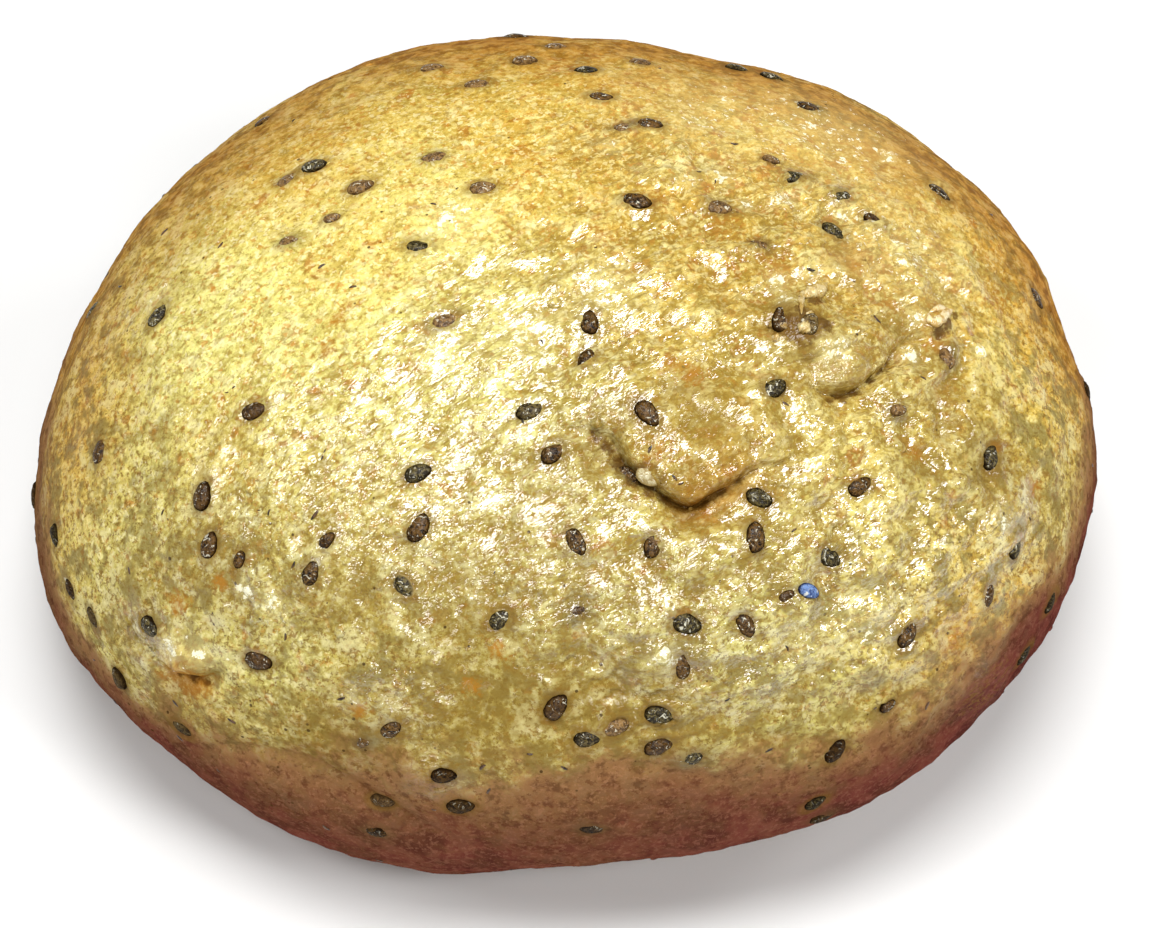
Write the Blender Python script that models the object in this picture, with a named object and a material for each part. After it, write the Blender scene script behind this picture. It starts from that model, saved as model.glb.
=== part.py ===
"""A baked chia seed roll: a lumpy dome on a flat base, with chia seeds half sunk in its crust.

Metres, +Z up. The origin lies under the middle of the roll, on the surface that it stands on. The side that
the photograph shows faces -Y, and the folds, lumps and seeds there are placed by its pixels.
"""

import math
import random
from dataclasses import dataclass

import bmesh
import bpy
import numpy as np
from mathutils import Matrix, Vector, noise

# Driving sizes of the roll
MM = 0.001
LENGTH = 80 * MM
WIDTH = 67 * MM
DOME_RISE = 26.5 * MM
BASE_DROP = 13.5 * MM
UNDER_REACH = 18 * MM
ROUNDNESS = 2.1
MIDDLE = np.array((0.0, 0.0, BASE_DROP))

# Chia seeds
CHIA_LENGTH = 2.1 * MM
CHIA_WIDTH = 1.35 * MM
CHIA_THICKNESS = 0.9 * MM
CHIA_PROUD = 0.4 * MM
CHIA_SIDES = 6
CHIA_RINGS = 4

# Mesh sizes
CUBE_CELLS = 96
FOLD_MARGIN = 3.5 * MM
CRUST_TRIANGLES = 5800
BASE_SNAP = 0.3 * MM

# The photograph's view: 0 degrees of azimuth, looking down on the roll
PHOTO_WIDTH = 1152
PHOTO_HEIGHT = 928
SENSOR_WIDTH = 36 * MM
LENS = 108 * MM
VIEW_DISTANCE = 260 * MM
VIEW_ELEVATION = math.radians(55)
VIEW_TARGET = np.array((0.7, -0.2, 13.2)) * MM
VIEW_RIGHT = np.array((1.0, 0.0, 0.0))
VIEW_UP = np.array((0.0, math.sin(VIEW_ELEVATION), math.cos(VIEW_ELEVATION)))
VIEW_FORWARD = np.cross(VIEW_UP, VIEW_RIGHT)
EYE = VIEW_TARGET - VIEW_FORWARD * VIEW_DISTANCE

# Swellings and flats of the outline as the photograph shows it: the angle round the outline from the right,
# counter-clockwise, how far each spreads to both sides, both in degrees, and how far it stands out
RIM_SWELLS = (
    (2, 8, 0.5 * MM),
    (11, 5, 0.4 * MM),
    (19, 12, -1.2 * MM),
    (40, 20, 0.2 * MM),
    (60, 9, 0.4 * MM),
    (101, 17, 1.1 * MM),
    (145, 8, -0.3 * MM),
    (156, 22, -1.5 * MM),
    (200, 14, 0.9 * MM),
    (246, 16, 1.6 * MM),
    (264, 8, 0.8 * MM),
    (285, 9, -1.0 * MM),
    (288, 17, -3.7 * MM),
    (331, 24, -1.8 * MM),
)


@dataclass
class Fold:
    """A crease in the dough, whose flap lies on the left of the way that its points run."""

    points: tuple        # photograph x and y, and the share of the depth there
    depth: float
    width: float
    flap_rise: float = 0.0
    flap_width: float = 3 * MM
    overhang: float = 0.0


FOLDS = (
    Fold(
        points=((578, 424, 0.0), (610, 434, 0.4), (628, 460, 0.8), (652, 480, 1.0), (688, 502, 1.0),
                (713, 491, 0.9), (738, 479, 0.7), (762, 465, 0.4), (800, 461, 0.0)),
        depth=2.3 * MM, width=1.0 * MM, flap_rise=0.7 * MM, flap_width=3.0 * MM, overhang=0.8 * MM,
    ),
    Fold(
        points=((808, 378, 0.0), (824, 386, 0.7), (842, 387, 1.0), (859, 384, 1.0), (874, 373, 0.9),
                (889, 361, 0.8), (898, 347, 0.5), (912, 336, 0.4), (930, 334, 0.3), (950, 332, 0.0)),
        depth=1.9 * MM, width=0.9 * MM, flap_rise=0.8 * MM, flap_width=2.2 * MM, overhang=0.5 * MM,
    ),
    Fold(
        points=((744, 378, 0.0), (765, 371, 0.8), (790, 364, 1.0), (815, 362, 0.7), (835, 352, 0.0)),
        depth=0.8 * MM, width=0.9 * MM,
    ),
    Fold(
        points=((128, 628, 0.0), (146, 646, 0.5), (162, 664, 0.8), (182, 676, 1.0), (206, 678, 0.6),
                (232, 670, 0.0)),
        depth=0.8 * MM, width=0.8 * MM, flap_rise=0.4 * MM, flap_width=1.1 * MM, overhang=0.1 * MM,
    ),
    Fold(
        points=((150, 738, 0.0), (230, 750, 0.7), (305, 765, 1.0), (365, 798, 1.0), (430, 834, 0.8),
                (520, 858, 0.0)),
        depth=0.7 * MM, width=1.6 * MM,
    ),
    Fold(
        points=((566, 612, 0.0), (585, 645, 0.8), (612, 680, 1.0), (640, 702, 1.0), (672, 724, 0.0)),
        depth=0.7 * MM, width=1.5 * MM,
    ),
)


@dataclass
class Lump:
    """A round swelling, or with a height below 0 a dimple, at a pixel of the photograph."""

    x: float
    y: float
    radius: float
    height: float


LUMPS = (
    Lump(700, 420, 6.0 * MM, 0.7 * MM),
    Lump(797, 322, 1.9 * MM, 1.0 * MM),
    Lump(851, 364, 2.8 * MM, 0.7 * MM),
    Lump(934, 322, 1.0 * MM, 0.7 * MM),
    Lump(884, 388, 1.9 * MM, 0.6 * MM),
    Lump(186, 658, 1.4 * MM, 0.4 * MM),
    Lump(988, 458, 1.7 * MM, -0.9 * MM),
    Lump(1002, 520, 1.6 * MM, 0.5 * MM),
    Lump(560, 462, 3.0 * MM, -0.4 * MM),
    Lump(602, 455, 1.6 * MM, -0.7 * MM),
    Lump(592, 414, 2.0 * MM, 0.5 * MM),
    Lump(614, 488, 1.8 * MM, 0.5 * MM),
    Lump(805, 378, 1.8 * MM, 0.4 * MM),
    Lump(1052, 430, 1.8 * MM, 0.4 * MM),
    Lump(1040, 490, 1.6 * MM, -0.4 * MM),
    Lump(905, 264, 1.2 * MM, 0.4 * MM),
    Lump(740, 600, 6.0 * MM, 0.6 * MM),
    Lump(415, 772, 2.2 * MM, 0.5 * MM),
)

# Knobbly dough all over: the distance between knobs, and their height
KNOBS = ((14 * MM, 0.45 * MM), (6 * MM, 0.22 * MM))

# Chia seeds that the photograph shows: x, y and the turn of the long side in degrees, counter-clockwise
SEEDS_FAR = (
    (516, 36, 0), (556, 45, 5), (525, 61, 20), (587, 69, 0), (477, 83, 5), (601, 96, 5), (640, 61, 0),
    (737, 68, -10), (772, 76, -20), (650, 125, 0), (638, 202, -15), (482, 186, 10), (719, 205, 0),
    (771, 160, -10), (835, 228, -35), (875, 221, -60), (940, 191, -30), (1037, 297, -60),
)
SEEDS_LEFT = (
    (314, 166, 10), (360, 186, 15), (332, 218, 10), (156, 315, 60), (253, 410, 10), (203, 496, 80),
    (209, 545, 70), (311, 573, 65), (328, 540, 40), (29, 496, 80), (54, 536, -60), (68, 590, -60),
    (92, 619, -50), (417, 245, -10), (444, 320, 20), (240, 559, 60),
)
SEEDS_MIDDLE = (
    (590, 320, 90), (587, 357, 75), (530, 411, 20), (648, 413, -50), (553, 454, 35), (418, 473, 20),
    (419, 528, 60), (650, 475, -25), (404, 586, -50), (576, 542, -60), (653, 545, 80), (760, 498, -20),
    (754, 537, 90), (774, 388, 30), (782, 318, 80), (809, 324, 60),
)
SEEDS_RIGHT = (
    (897, 411, 20), (988, 458, 60), (860, 486, 30), (830, 557, -30), (788, 597, 30), (809, 591, -20),
    (1087, 392, -70), (1017, 547, 70), (990, 597, 70), (1052, 602, 60), (909, 636, 60), (1025, 655, 50),
)
SEEDS_NEAR = (
    (149, 628, -35), (120, 678, 90), (258, 661, -5), (180, 730, -20), (391, 730, 40), (383, 801, 10),
    (500, 620, 35), (687, 624, -20), (747, 626, -60), (684, 669, 90), (556, 708, 60), (588, 740, 10),
    (616, 728, 20), (659, 715, -10), (659, 748, 20), (444, 776, 10), (460, 807, 20), (835, 750, 70),
    (889, 707, 30), (816, 804, 50),
)
SEEDS_IN_PHOTO = SEEDS_FAR + SEEDS_LEFT + SEEDS_MIDDLE + SEEDS_RIGHT + SEEDS_NEAR

# Chia seeds where the photograph doesn't reach, spread as densely
HIDDEN_SEEDS = 22
HIDDEN_SPACING = 6 * MM
HIDDEN_LOWEST = 3 * MM
HIDDEN_FACING = -0.3
HIDDEN_FACING_LOW = -0.45
HIDDEN_LOW = 12 * MM
SPREAD_SEED = 7

CRUST_COLOUR = (0.58, 0.38, 0.12, 1.0)
CHIA_COLOUR = (0.06, 0.045, 0.03, 1.0)


def clear_scene():
    for old in list(bpy.data.objects):
        bpy.data.objects.remove(old, do_unlink=True)


def lined_up(vectors):
    """The vectors, each with a length of 1."""
    return vectors / np.linalg.norm(vectors, axis=-1, keepdims=True)


def half_axes(ups):
    """Half sizes of the body along X, Y and Z, above and below its widest level."""
    rise = np.where(ups > 0, DOME_RISE, UNDER_REACH)
    return np.stack((np.full_like(rise, LENGTH / 2), np.full_like(rise, WIDTH / 2), rise), axis=-1)


def rim_direction(angle):
    """The direction of the outline that the photograph shows at an angle round it."""
    return math.cos(angle) * VIEW_RIGHT + math.sin(angle) * VIEW_UP


def reach(directions):
    """How far the smooth body reaches in each direction of the unit sphere that it is stretched from."""
    stretched = directions * half_axes(directions[..., 2])
    boxiness = (np.abs(directions) ** ROUNDNESS).sum(axis=-1) ** (-1 / ROUNDNESS)
    length = np.linalg.norm(stretched, axis=-1)
    swell = np.zeros_like(boxiness)
    for angle, spread, height in RIM_SWELLS:
        towards = rim_direction(math.radians(angle))
        narrowness = 1 / (1 - math.cos(math.radians(spread)))
        swell += height * np.exp((directions @ towards - 1) * narrowness)
    return stretched * (boxiness + swell / length)[..., None]


def smooth_body(directions):
    return MIDDLE + reach(directions)


def outward(directions):
    """Outward normals of the smooth body."""
    axes = half_axes(directions[..., 2])
    slope = np.sign(directions) * np.abs(directions) ** (ROUNDNESS - 1) / axes
    return lined_up(slope)


def lines_of_sight(pixels):
    """Directions in which the photograph's pixels look."""
    pitch = SENSOR_WIDTH / PHOTO_WIDTH
    across = (pixels[:, :1] - PHOTO_WIDTH / 2) * pitch
    up = (PHOTO_HEIGHT / 2 - pixels[:, 1:2]) * pitch
    return lined_up(VIEW_FORWARD * LENS + VIEW_RIGHT * across + VIEW_UP * up)


def to_pixels(points):
    """Where the photograph shows the points."""
    away = points - EYE
    scale = LENS / (away @ VIEW_FORWARD) * PHOTO_WIDTH / SENSOR_WIDTH
    across = PHOTO_WIDTH / 2 + (away @ VIEW_RIGHT) * scale
    down = PHOTO_HEIGHT / 2 - (away @ VIEW_UP) * scale
    return np.column_stack((across, down))


def seen_directions(pixels):
    """Directions of the smooth body's points that the pixels show, or that they pass closest to."""
    pixels = np.asarray(pixels, float)
    sight = lines_of_sight(pixels)
    travel = np.linspace(VIEW_DISTANCE - LENGTH, VIEW_DISTANCE + LENGTH, 1600)
    points = EYE + sight[:, None, :] * travel[None, :, None] - MIDDLE
    directions = lined_up(points / half_axes(points[..., 2]))
    depth = np.linalg.norm(points, axis=-1) / np.linalg.norm(reach(directions), axis=-1)
    entered = depth < 1
    step = np.where(entered.any(axis=1), entered.argmax(axis=1), depth.argmin(axis=1))
    return directions[np.arange(len(pixels)), step]


def smooth_path(points, steps=8):
    """A Catmull-Rom curve through the points, which may carry values beside their coordinates."""
    ends = np.vstack((2 * points[0] - points[1], points, 2 * points[-1] - points[-2]))
    curve = []
    for before, start, end, after in zip(ends, ends[1:], ends[2:], ends[3:]):
        for share in np.arange(steps) / steps:
            bend = 2 * start + (end - before) * share
            bend += (2 * before - 5 * start + 4 * end - after) * share ** 2
            bend += (3 * start - before - 3 * end + after) * share ** 3
            curve.append(bend / 2)
    curve.append(points[-1])
    return np.array(curve)


def measure_from_path(points, normals, path):
    """Signed distance of each point from the path, left positive, its share of the depth, and the way left."""
    nearest = np.full(len(points), np.inf)
    share = np.zeros(len(points))
    side = np.zeros(len(points))
    left = np.zeros_like(points)
    for start, end in zip(path, path[1:]):
        run = end[:3] - start[:3]
        along = np.clip((points - start[:3]) @ run / (run @ run), 0, 1)
        offset = points - start[:3] - along[:, None] * run
        distance = np.linalg.norm(offset, axis=1)
        closer = distance < nearest
        leftward = lined_up(np.cross(normals[closer], run))
        nearest[closer] = distance[closer]
        share[closer] = (start[3] + along * (end[3] - start[3]))[closer]
        side[closer] = np.sign((offset[closer] * leftward).sum(axis=1))
        left[closer] = leftward
    return nearest * side, np.clip(share, 0, 1), left


def fold_path(fold):
    """The fold's path on the smooth body, with its share of the depth as a fourth value."""
    table = np.array(fold.points)
    on_body = smooth_body(seen_directions(table[:, :2]))
    return smooth_path(np.column_stack((on_body, table[:, 2])))


def add_fold(fold, points, normals):
    """How a fold moves the points: a groove, the swollen edge of its flap, and the flap's overhang."""
    distance, share, left = measure_from_path(points, normals, fold_path(fold))
    on_flap = distance > 0
    reach_down = np.where(on_flap, 0.7 * fold.width, 1.3 * fold.width)
    groove = -fold.depth * np.exp(-np.abs(distance) / reach_down)
    swell = fold.flap_rise * np.exp(-((distance - fold.flap_width) / fold.flap_width) ** 2)
    lean = fold.overhang * np.exp(-((distance - fold.width) / (0.8 * fold.width)) ** 2) * on_flap
    lift = share * (groove + np.where(on_flap, swell, 0))
    return normals * lift[:, None] - left * (share * lean)[:, None]


def add_lump(lump, points, normals):
    centre = smooth_body(seen_directions([(lump.x, lump.y)]))[0]
    distance = np.linalg.norm(points - centre, axis=1)
    return normals * (lump.height * np.exp(-(distance / lump.radius) ** 2))[:, None]


def add_knobs(points, normals):
    lift = np.zeros(len(points))
    for spacing, height in KNOBS:
        lift += [height * noise.noise(Vector(point / spacing)) for point in points]
    return normals * lift[:, None]


def crust(directions):
    """Points of the finished crust, and the smooth body's normals there."""
    points = smooth_body(directions)
    normals = outward(directions)
    moved = points + add_knobs(points, normals)
    for fold in FOLDS:
        moved += add_fold(fold, points, normals)
    for lump in LUMPS:
        moved += add_lump(lump, points, normals)
    return moved, normals


def cube_sphere(cells):
    """A unit sphere of even quads: a cube with a grid on each side, blown up."""
    sphere = bmesh.new()
    bmesh.ops.create_cube(sphere, size=2.0)
    bmesh.ops.subdivide_edges(sphere, edges=sphere.edges[:], cuts=cells - 1, use_grid_fill=True)
    for vert in sphere.verts:
        vert.co = Vector([math.tan(part * math.pi / 4) for part in vert.co]).normalized()
    return sphere


def refine_near_folds(sphere):
    """Halves the sphere's edges where the folds will be."""
    directions = np.array([vert.co for vert in sphere.verts])
    points = smooth_body(directions)
    normals = outward(directions)
    near = np.zeros(len(points), bool)
    for fold in FOLDS:
        distance, _, _ = measure_from_path(points, normals, fold_path(fold))
        near |= np.abs(distance) < FOLD_MARGIN
    chosen = [edge for edge in sphere.edges if all(near[vert.index] for vert in edge.verts)]
    bmesh.ops.subdivide_edges(sphere, edges=chosen, cuts=1, use_grid_fill=True)
    for vert in sphere.verts:
        vert.co.normalize()


def cut_base(body):
    """Cuts the roll off flat at its base, and closes it there with one face."""
    everything = body.verts[:] + body.edges[:] + body.faces[:]
    bmesh.ops.bisect_plane(body, geom=everything, plane_co=(0, 0, 0), plane_no=(0, 0, -1), clear_outer=True)
    rim = [edge for edge in body.edges if edge.is_boundary]
    bmesh.ops.holes_fill(body, edges=rim)


def flatten_base(mesh):
    """Puts the points at the base's rim, and those just above it, exactly on the base."""
    for vert in mesh.vertices:
        if vert.co.z < BASE_SNAP:
            vert.co.z = 0.0


def make_material(name, colour, roughness):
    material = bpy.data.materials.new(name)
    material.use_nodes = True
    shader = material.node_tree.nodes["Principled BSDF"]
    shader.inputs["Base Color"].default_value = colour
    shader.inputs["Roughness"].default_value = roughness
    shader.inputs["Metallic"].default_value = 0.0
    material.diffuse_color = colour
    return material


def make_object(name, body, material):
    mesh = bpy.data.meshes.new(name)
    body.to_mesh(mesh)
    body.free()
    mesh.materials.append(material)
    made = bpy.data.objects.new(name, mesh)
    bpy.context.scene.collection.objects.link(made)
    return made


def apply_modifiers(made):
    """Replaces the object's mesh with what its modifiers make of it."""
    evaluated = made.evaluated_get(bpy.context.evaluated_depsgraph_get())
    mesh = bpy.data.meshes.new_from_object(evaluated)
    made.modifiers.clear()
    made.data = mesh


def make_crust(material):
    """The roll without its seeds: finely modelled, cut flat below, and thinned out where it is smooth."""
    body = cube_sphere(CUBE_CELLS)
    refine_near_folds(body)
    directions = np.array([vert.co for vert in body.verts])
    places, _ = crust(directions)
    for vert, place in zip(body.verts, places):
        vert.co = place
    cut_base(body)
    bmesh.ops.triangulate(body, faces=body.faces[:])
    fine = len(body.faces)
    roll = make_object("roll", body, material)
    thin_out = roll.modifiers.new("thin out", "DECIMATE")
    thin_out.ratio = CRUST_TRIANGLES / fine
    apply_modifiers(roll)
    flatten_base(roll.data)
    return roll


def aim_at(pixels):
    """Directions whose crust points the photograph shows at the pixels."""
    wanted = np.asarray(pixels, float)
    aim = wanted.copy()
    for _ in range(3):
        shown = to_pixels(crust(seen_directions(aim))[0])
        aim += wanted - shown
    return seen_directions(aim)


def hidden_directions():
    """Directions spread evenly over the sides that the photograph doesn't show."""
    draw = random.Random(SPREAD_SEED)
    chosen = []
    places = []
    while len(chosen) < HIDDEN_SEEDS:
        tried = lined_up(np.array([[draw.gauss(0, 1) for _ in range(3)]]))
        place = smooth_body(tried)[0]
        facing = outward(tried)[0] @ lined_up(EYE - place)
        if place[2] < HIDDEN_LOWEST or facing > (HIDDEN_FACING_LOW if place[2] < HIDDEN_LOW else HIDDEN_FACING):
            continue
        if all(np.linalg.norm(place - other) > HIDDEN_SPACING for other in places):
            chosen.append(tried[0])
            places.append(place)
    return np.array(chosen)


def seed_turns(normals, angles):
    """The long side of each seed, turned in the photograph's plane and laid flat on the crust."""
    drawn = np.cos(angles)[:, None] * VIEW_RIGHT + np.sin(angles)[:, None] * VIEW_UP
    return lined_up(drawn - (drawn * normals).sum(axis=1)[:, None] * normals)


def make_seeds(material):
    """The seeds, as a collection for the union."""
    draw = random.Random(SPREAD_SEED)
    hidden = hidden_directions()
    directions = np.vstack((aim_at([seed[:2] for seed in SEEDS_IN_PHOTO]), hidden))
    turns = [seed[2] for seed in SEEDS_IN_PHOTO] + [draw.uniform(0, 180) for _ in hidden]
    places, normals = crust(directions)
    long_sides = seed_turns(normals, np.radians(turns))
    seeds = bpy.data.collections.new("chia seeds")
    for place, normal, long_side in zip(places, normals, long_sides):
        body = bmesh.new()
        bmesh.ops.create_uvsphere(body, u_segments=CHIA_SIDES, v_segments=CHIA_RINGS, radius=0.5)
        bmesh.ops.triangulate(body, faces=body.faces[:])
        size = Matrix.Diagonal((CHIA_LENGTH, CHIA_WIDTH, CHIA_THICKNESS, 1.0))
        frame = Matrix(np.column_stack((long_side, np.cross(normal, long_side), normal)).tolist())
        centre = place + normal * (CHIA_PROUD - CHIA_THICKNESS / 2)
        bmesh.ops.transform(body, matrix=Matrix.Translation(centre) @ frame.to_4x4() @ size, verts=body.verts)
        seed = make_object("chia seed", body, material)
        bpy.context.scene.collection.objects.unlink(seed)
        seeds.objects.link(seed)
    return seeds


def fuse(roll, seeds):
    """Joins the seeds to the roll in one union, and removes the loose ones."""
    bpy.context.scene.collection.children.link(seeds)
    union = roll.modifiers.new("fuse seeds", "BOOLEAN")
    union.operation = "UNION"
    union.operand_type = "COLLECTION"
    union.collection = seeds
    union.solver = "EXACT"
    union.material_mode = "TRANSFER"
    apply_modifiers(roll)
    for seed in list(seeds.objects):
        bpy.data.objects.remove(seed, do_unlink=True)
    bpy.data.collections.remove(seeds)


def main():
    clear_scene()
    crust_material = make_material("crust", CRUST_COLOUR, 0.4)
    chia_material = make_material("chia", CHIA_COLOUR, 0.35)
    roll = make_crust(crust_material)
    fuse(roll, make_seeds(chia_material))
    roll.data.shade_smooth()
    roll.data.set_sharp_from_angle(angle=math.radians(50))


main()
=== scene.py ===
"""Looks of a chia seed roll: its crust, chia seeds, husks, blisters and curls, on a pale floor in a soft studio.

Metres, +Z up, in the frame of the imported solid. The side that the photograph shows faces -Y.
"""

import math
import random
from dataclasses import dataclass

import bmesh
import bpy
import numpy as np
from mathutils import Matrix, Vector, noise


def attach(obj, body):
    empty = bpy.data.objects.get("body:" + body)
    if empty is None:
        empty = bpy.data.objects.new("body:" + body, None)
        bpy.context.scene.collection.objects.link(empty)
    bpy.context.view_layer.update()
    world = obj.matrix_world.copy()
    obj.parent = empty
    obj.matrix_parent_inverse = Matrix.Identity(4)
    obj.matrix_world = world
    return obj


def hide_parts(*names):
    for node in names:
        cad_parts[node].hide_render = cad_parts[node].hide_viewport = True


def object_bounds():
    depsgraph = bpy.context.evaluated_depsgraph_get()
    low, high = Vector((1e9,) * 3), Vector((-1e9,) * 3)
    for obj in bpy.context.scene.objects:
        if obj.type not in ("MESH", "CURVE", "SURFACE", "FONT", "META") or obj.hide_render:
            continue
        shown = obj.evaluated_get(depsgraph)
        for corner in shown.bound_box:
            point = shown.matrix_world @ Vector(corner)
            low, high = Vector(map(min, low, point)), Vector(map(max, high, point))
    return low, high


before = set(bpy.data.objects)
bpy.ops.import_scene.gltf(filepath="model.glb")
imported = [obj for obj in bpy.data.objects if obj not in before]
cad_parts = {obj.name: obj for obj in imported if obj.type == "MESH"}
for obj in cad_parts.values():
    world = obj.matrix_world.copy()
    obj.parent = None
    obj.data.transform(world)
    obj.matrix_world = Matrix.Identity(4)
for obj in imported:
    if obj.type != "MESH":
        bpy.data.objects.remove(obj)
CAD_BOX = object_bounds()

# noise_vector starts from the clock unless it is given a seed
NOISE_SEED = 7
noise.seed_set(NOISE_SEED)

# Driving sizes of the roll
MM = 0.001
LENGTH = 80 * MM
WIDTH = 67 * MM
DOME_RISE = 26.5 * MM
BASE_DROP = 13.5 * MM
UNDER_REACH = 18 * MM
ROUNDNESS = 2.1
MIDDLE = np.array((0.0, 0.0, BASE_DROP))

# Chia seeds
CHIA_LENGTH = 2.1 * MM
CHIA_WIDTH = 1.35 * MM
CHIA_THICKNESS = 0.9 * MM
CHIA_PROUD = 0.4 * MM
CHIA_SIDES = 6
CHIA_RINGS = 4

# The photograph's view: 0 degrees of azimuth, looking down on the roll
PHOTO_WIDTH = 1152
PHOTO_HEIGHT = 928
SENSOR_WIDTH = 36 * MM
LENS = 108 * MM
VIEW_DISTANCE = 260 * MM
VIEW_ELEVATION = math.radians(55)
VIEW_TARGET = np.array((0.7, -0.2, 13.2)) * MM
VIEW_RIGHT = np.array((1.0, 0.0, 0.0))
VIEW_UP = np.array((0.0, math.sin(VIEW_ELEVATION), math.cos(VIEW_ELEVATION)))
VIEW_FORWARD = np.cross(VIEW_UP, VIEW_RIGHT)
EYE = VIEW_TARGET - VIEW_FORWARD * VIEW_DISTANCE

# Swellings and flats of the outline as the photograph shows it: the angle round the outline from the right,
# counter-clockwise, how far each spreads to both sides, both in degrees, and how far it stands out
RIM_SWELLS = (
    (2, 8, 0.5 * MM),
    (11, 5, 0.4 * MM),
    (19, 12, -1.2 * MM),
    (40, 20, 0.2 * MM),
    (60, 9, 0.4 * MM),
    (101, 17, 1.1 * MM),
    (145, 8, -0.3 * MM),
    (156, 22, -1.5 * MM),
    (200, 14, 0.9 * MM),
    (246, 16, 1.6 * MM),
    (264, 8, 0.8 * MM),
    (285, 9, -1.0 * MM),
    (288, 17, -3.7 * MM),
    (331, 24, -1.8 * MM),
)


@dataclass
class Fold:
    """A crease in the dough, whose flap lies on the left of the way that its points run."""

    points: tuple        # photograph x and y, and the share of the depth there
    depth: float
    width: float
    flap_rise: float = 0.0
    flap_width: float = 3 * MM
    overhang: float = 0.0


FOLDS = (
    Fold(
        points=((578, 424, 0.0), (610, 434, 0.4), (628, 460, 0.8), (652, 480, 1.0), (688, 502, 1.0),
                (713, 491, 0.9), (738, 479, 0.7), (762, 465, 0.4), (800, 461, 0.0)),
        depth=2.3 * MM, width=1.0 * MM, flap_rise=0.7 * MM, flap_width=3.0 * MM, overhang=0.8 * MM,
    ),
    Fold(
        points=((808, 378, 0.0), (824, 386, 0.7), (842, 387, 1.0), (859, 384, 1.0), (874, 373, 0.9),
                (889, 361, 0.8), (898, 347, 0.5), (912, 336, 0.4), (930, 334, 0.3), (950, 332, 0.0)),
        depth=1.9 * MM, width=0.9 * MM, flap_rise=0.8 * MM, flap_width=2.2 * MM, overhang=0.5 * MM,
    ),
    Fold(
        points=((744, 378, 0.0), (765, 371, 0.8), (790, 364, 1.0), (815, 362, 0.7), (835, 352, 0.0)),
        depth=0.8 * MM, width=0.9 * MM,
    ),
    Fold(
        points=((128, 628, 0.0), (146, 646, 0.5), (162, 664, 0.8), (182, 676, 1.0), (206, 678, 0.6),
                (232, 670, 0.0)),
        depth=0.8 * MM, width=0.8 * MM, flap_rise=0.4 * MM, flap_width=1.1 * MM, overhang=0.1 * MM,
    ),
    Fold(
        points=((150, 738, 0.0), (230, 750, 0.7), (305, 765, 1.0), (365, 798, 1.0), (430, 834, 0.8),
                (520, 858, 0.0)),
        depth=0.7 * MM, width=1.6 * MM,
    ),
    Fold(
        points=((566, 612, 0.0), (585, 645, 0.8), (612, 680, 1.0), (640, 702, 1.0), (672, 724, 0.0)),
        depth=0.7 * MM, width=1.5 * MM,
    ),
)


@dataclass
class Lump:
    """A round swelling, or with a height below 0 a dimple, at a pixel of the photograph."""

    x: float
    y: float
    radius: float
    height: float


LUMPS = (
    Lump(700, 420, 6.0 * MM, 0.7 * MM),
    Lump(797, 322, 1.9 * MM, 1.0 * MM),
    Lump(851, 364, 2.8 * MM, 0.7 * MM),
    Lump(934, 322, 1.0 * MM, 0.7 * MM),
    Lump(884, 388, 1.9 * MM, 0.6 * MM),
    Lump(186, 658, 1.4 * MM, 0.4 * MM),
    Lump(988, 458, 1.7 * MM, -0.9 * MM),
    Lump(1002, 520, 1.6 * MM, 0.5 * MM),
    Lump(560, 462, 3.0 * MM, -0.4 * MM),
    Lump(602, 455, 1.6 * MM, -0.7 * MM),
    Lump(592, 414, 2.0 * MM, 0.5 * MM),
    Lump(614, 488, 1.8 * MM, 0.5 * MM),
    Lump(805, 378, 1.8 * MM, 0.4 * MM),
    Lump(1052, 430, 1.8 * MM, 0.4 * MM),
    Lump(1040, 490, 1.6 * MM, -0.4 * MM),
    Lump(905, 264, 1.2 * MM, 0.4 * MM),
    Lump(740, 600, 6.0 * MM, 0.6 * MM),
    Lump(415, 772, 2.2 * MM, 0.5 * MM),
)

# Knobbly dough all over: the distance between knobs, and their height
KNOBS = ((14 * MM, 0.45 * MM), (6 * MM, 0.22 * MM))

# Chia seeds that the photograph shows: x, y and the turn of the long side in degrees, counter-clockwise
SEEDS_FAR = (
    (516, 36, 0), (556, 45, 5), (525, 61, 20), (587, 69, 0), (477, 83, 5), (601, 96, 5), (640, 61, 0),
    (737, 68, -10), (772, 76, -20), (650, 125, 0), (638, 202, -15), (482, 186, 10), (719, 205, 0),
    (771, 160, -10), (835, 228, -35), (875, 221, -60), (940, 191, -30), (1037, 297, -60),
)
SEEDS_LEFT = (
    (314, 166, 10), (360, 186, 15), (332, 218, 10), (156, 315, 60), (253, 410, 10), (203, 496, 80),
    (209, 545, 70), (311, 573, 65), (328, 540, 40), (29, 496, 80), (54, 536, -60), (68, 590, -60),
    (92, 619, -50), (417, 245, -10), (444, 320, 20), (240, 559, 60),
)
SEEDS_MIDDLE = (
    (590, 320, 90), (587, 357, 75), (530, 411, 20), (648, 413, -50), (553, 454, 35), (418, 473, 20),
    (419, 528, 60), (650, 475, -25), (404, 586, -50), (576, 542, -60), (653, 545, 80), (760, 498, -20),
    (754, 537, 90), (774, 388, 30), (782, 318, 80), (809, 324, 60),
)
SEEDS_RIGHT = (
    (897, 411, 20), (988, 458, 60), (860, 486, 30), (830, 557, -30), (788, 597, 30), (809, 591, -20),
    (1087, 392, -70), (1017, 547, 70), (990, 597, 70), (1052, 602, 60), (909, 636, 60), (1025, 655, 50),
)
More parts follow.
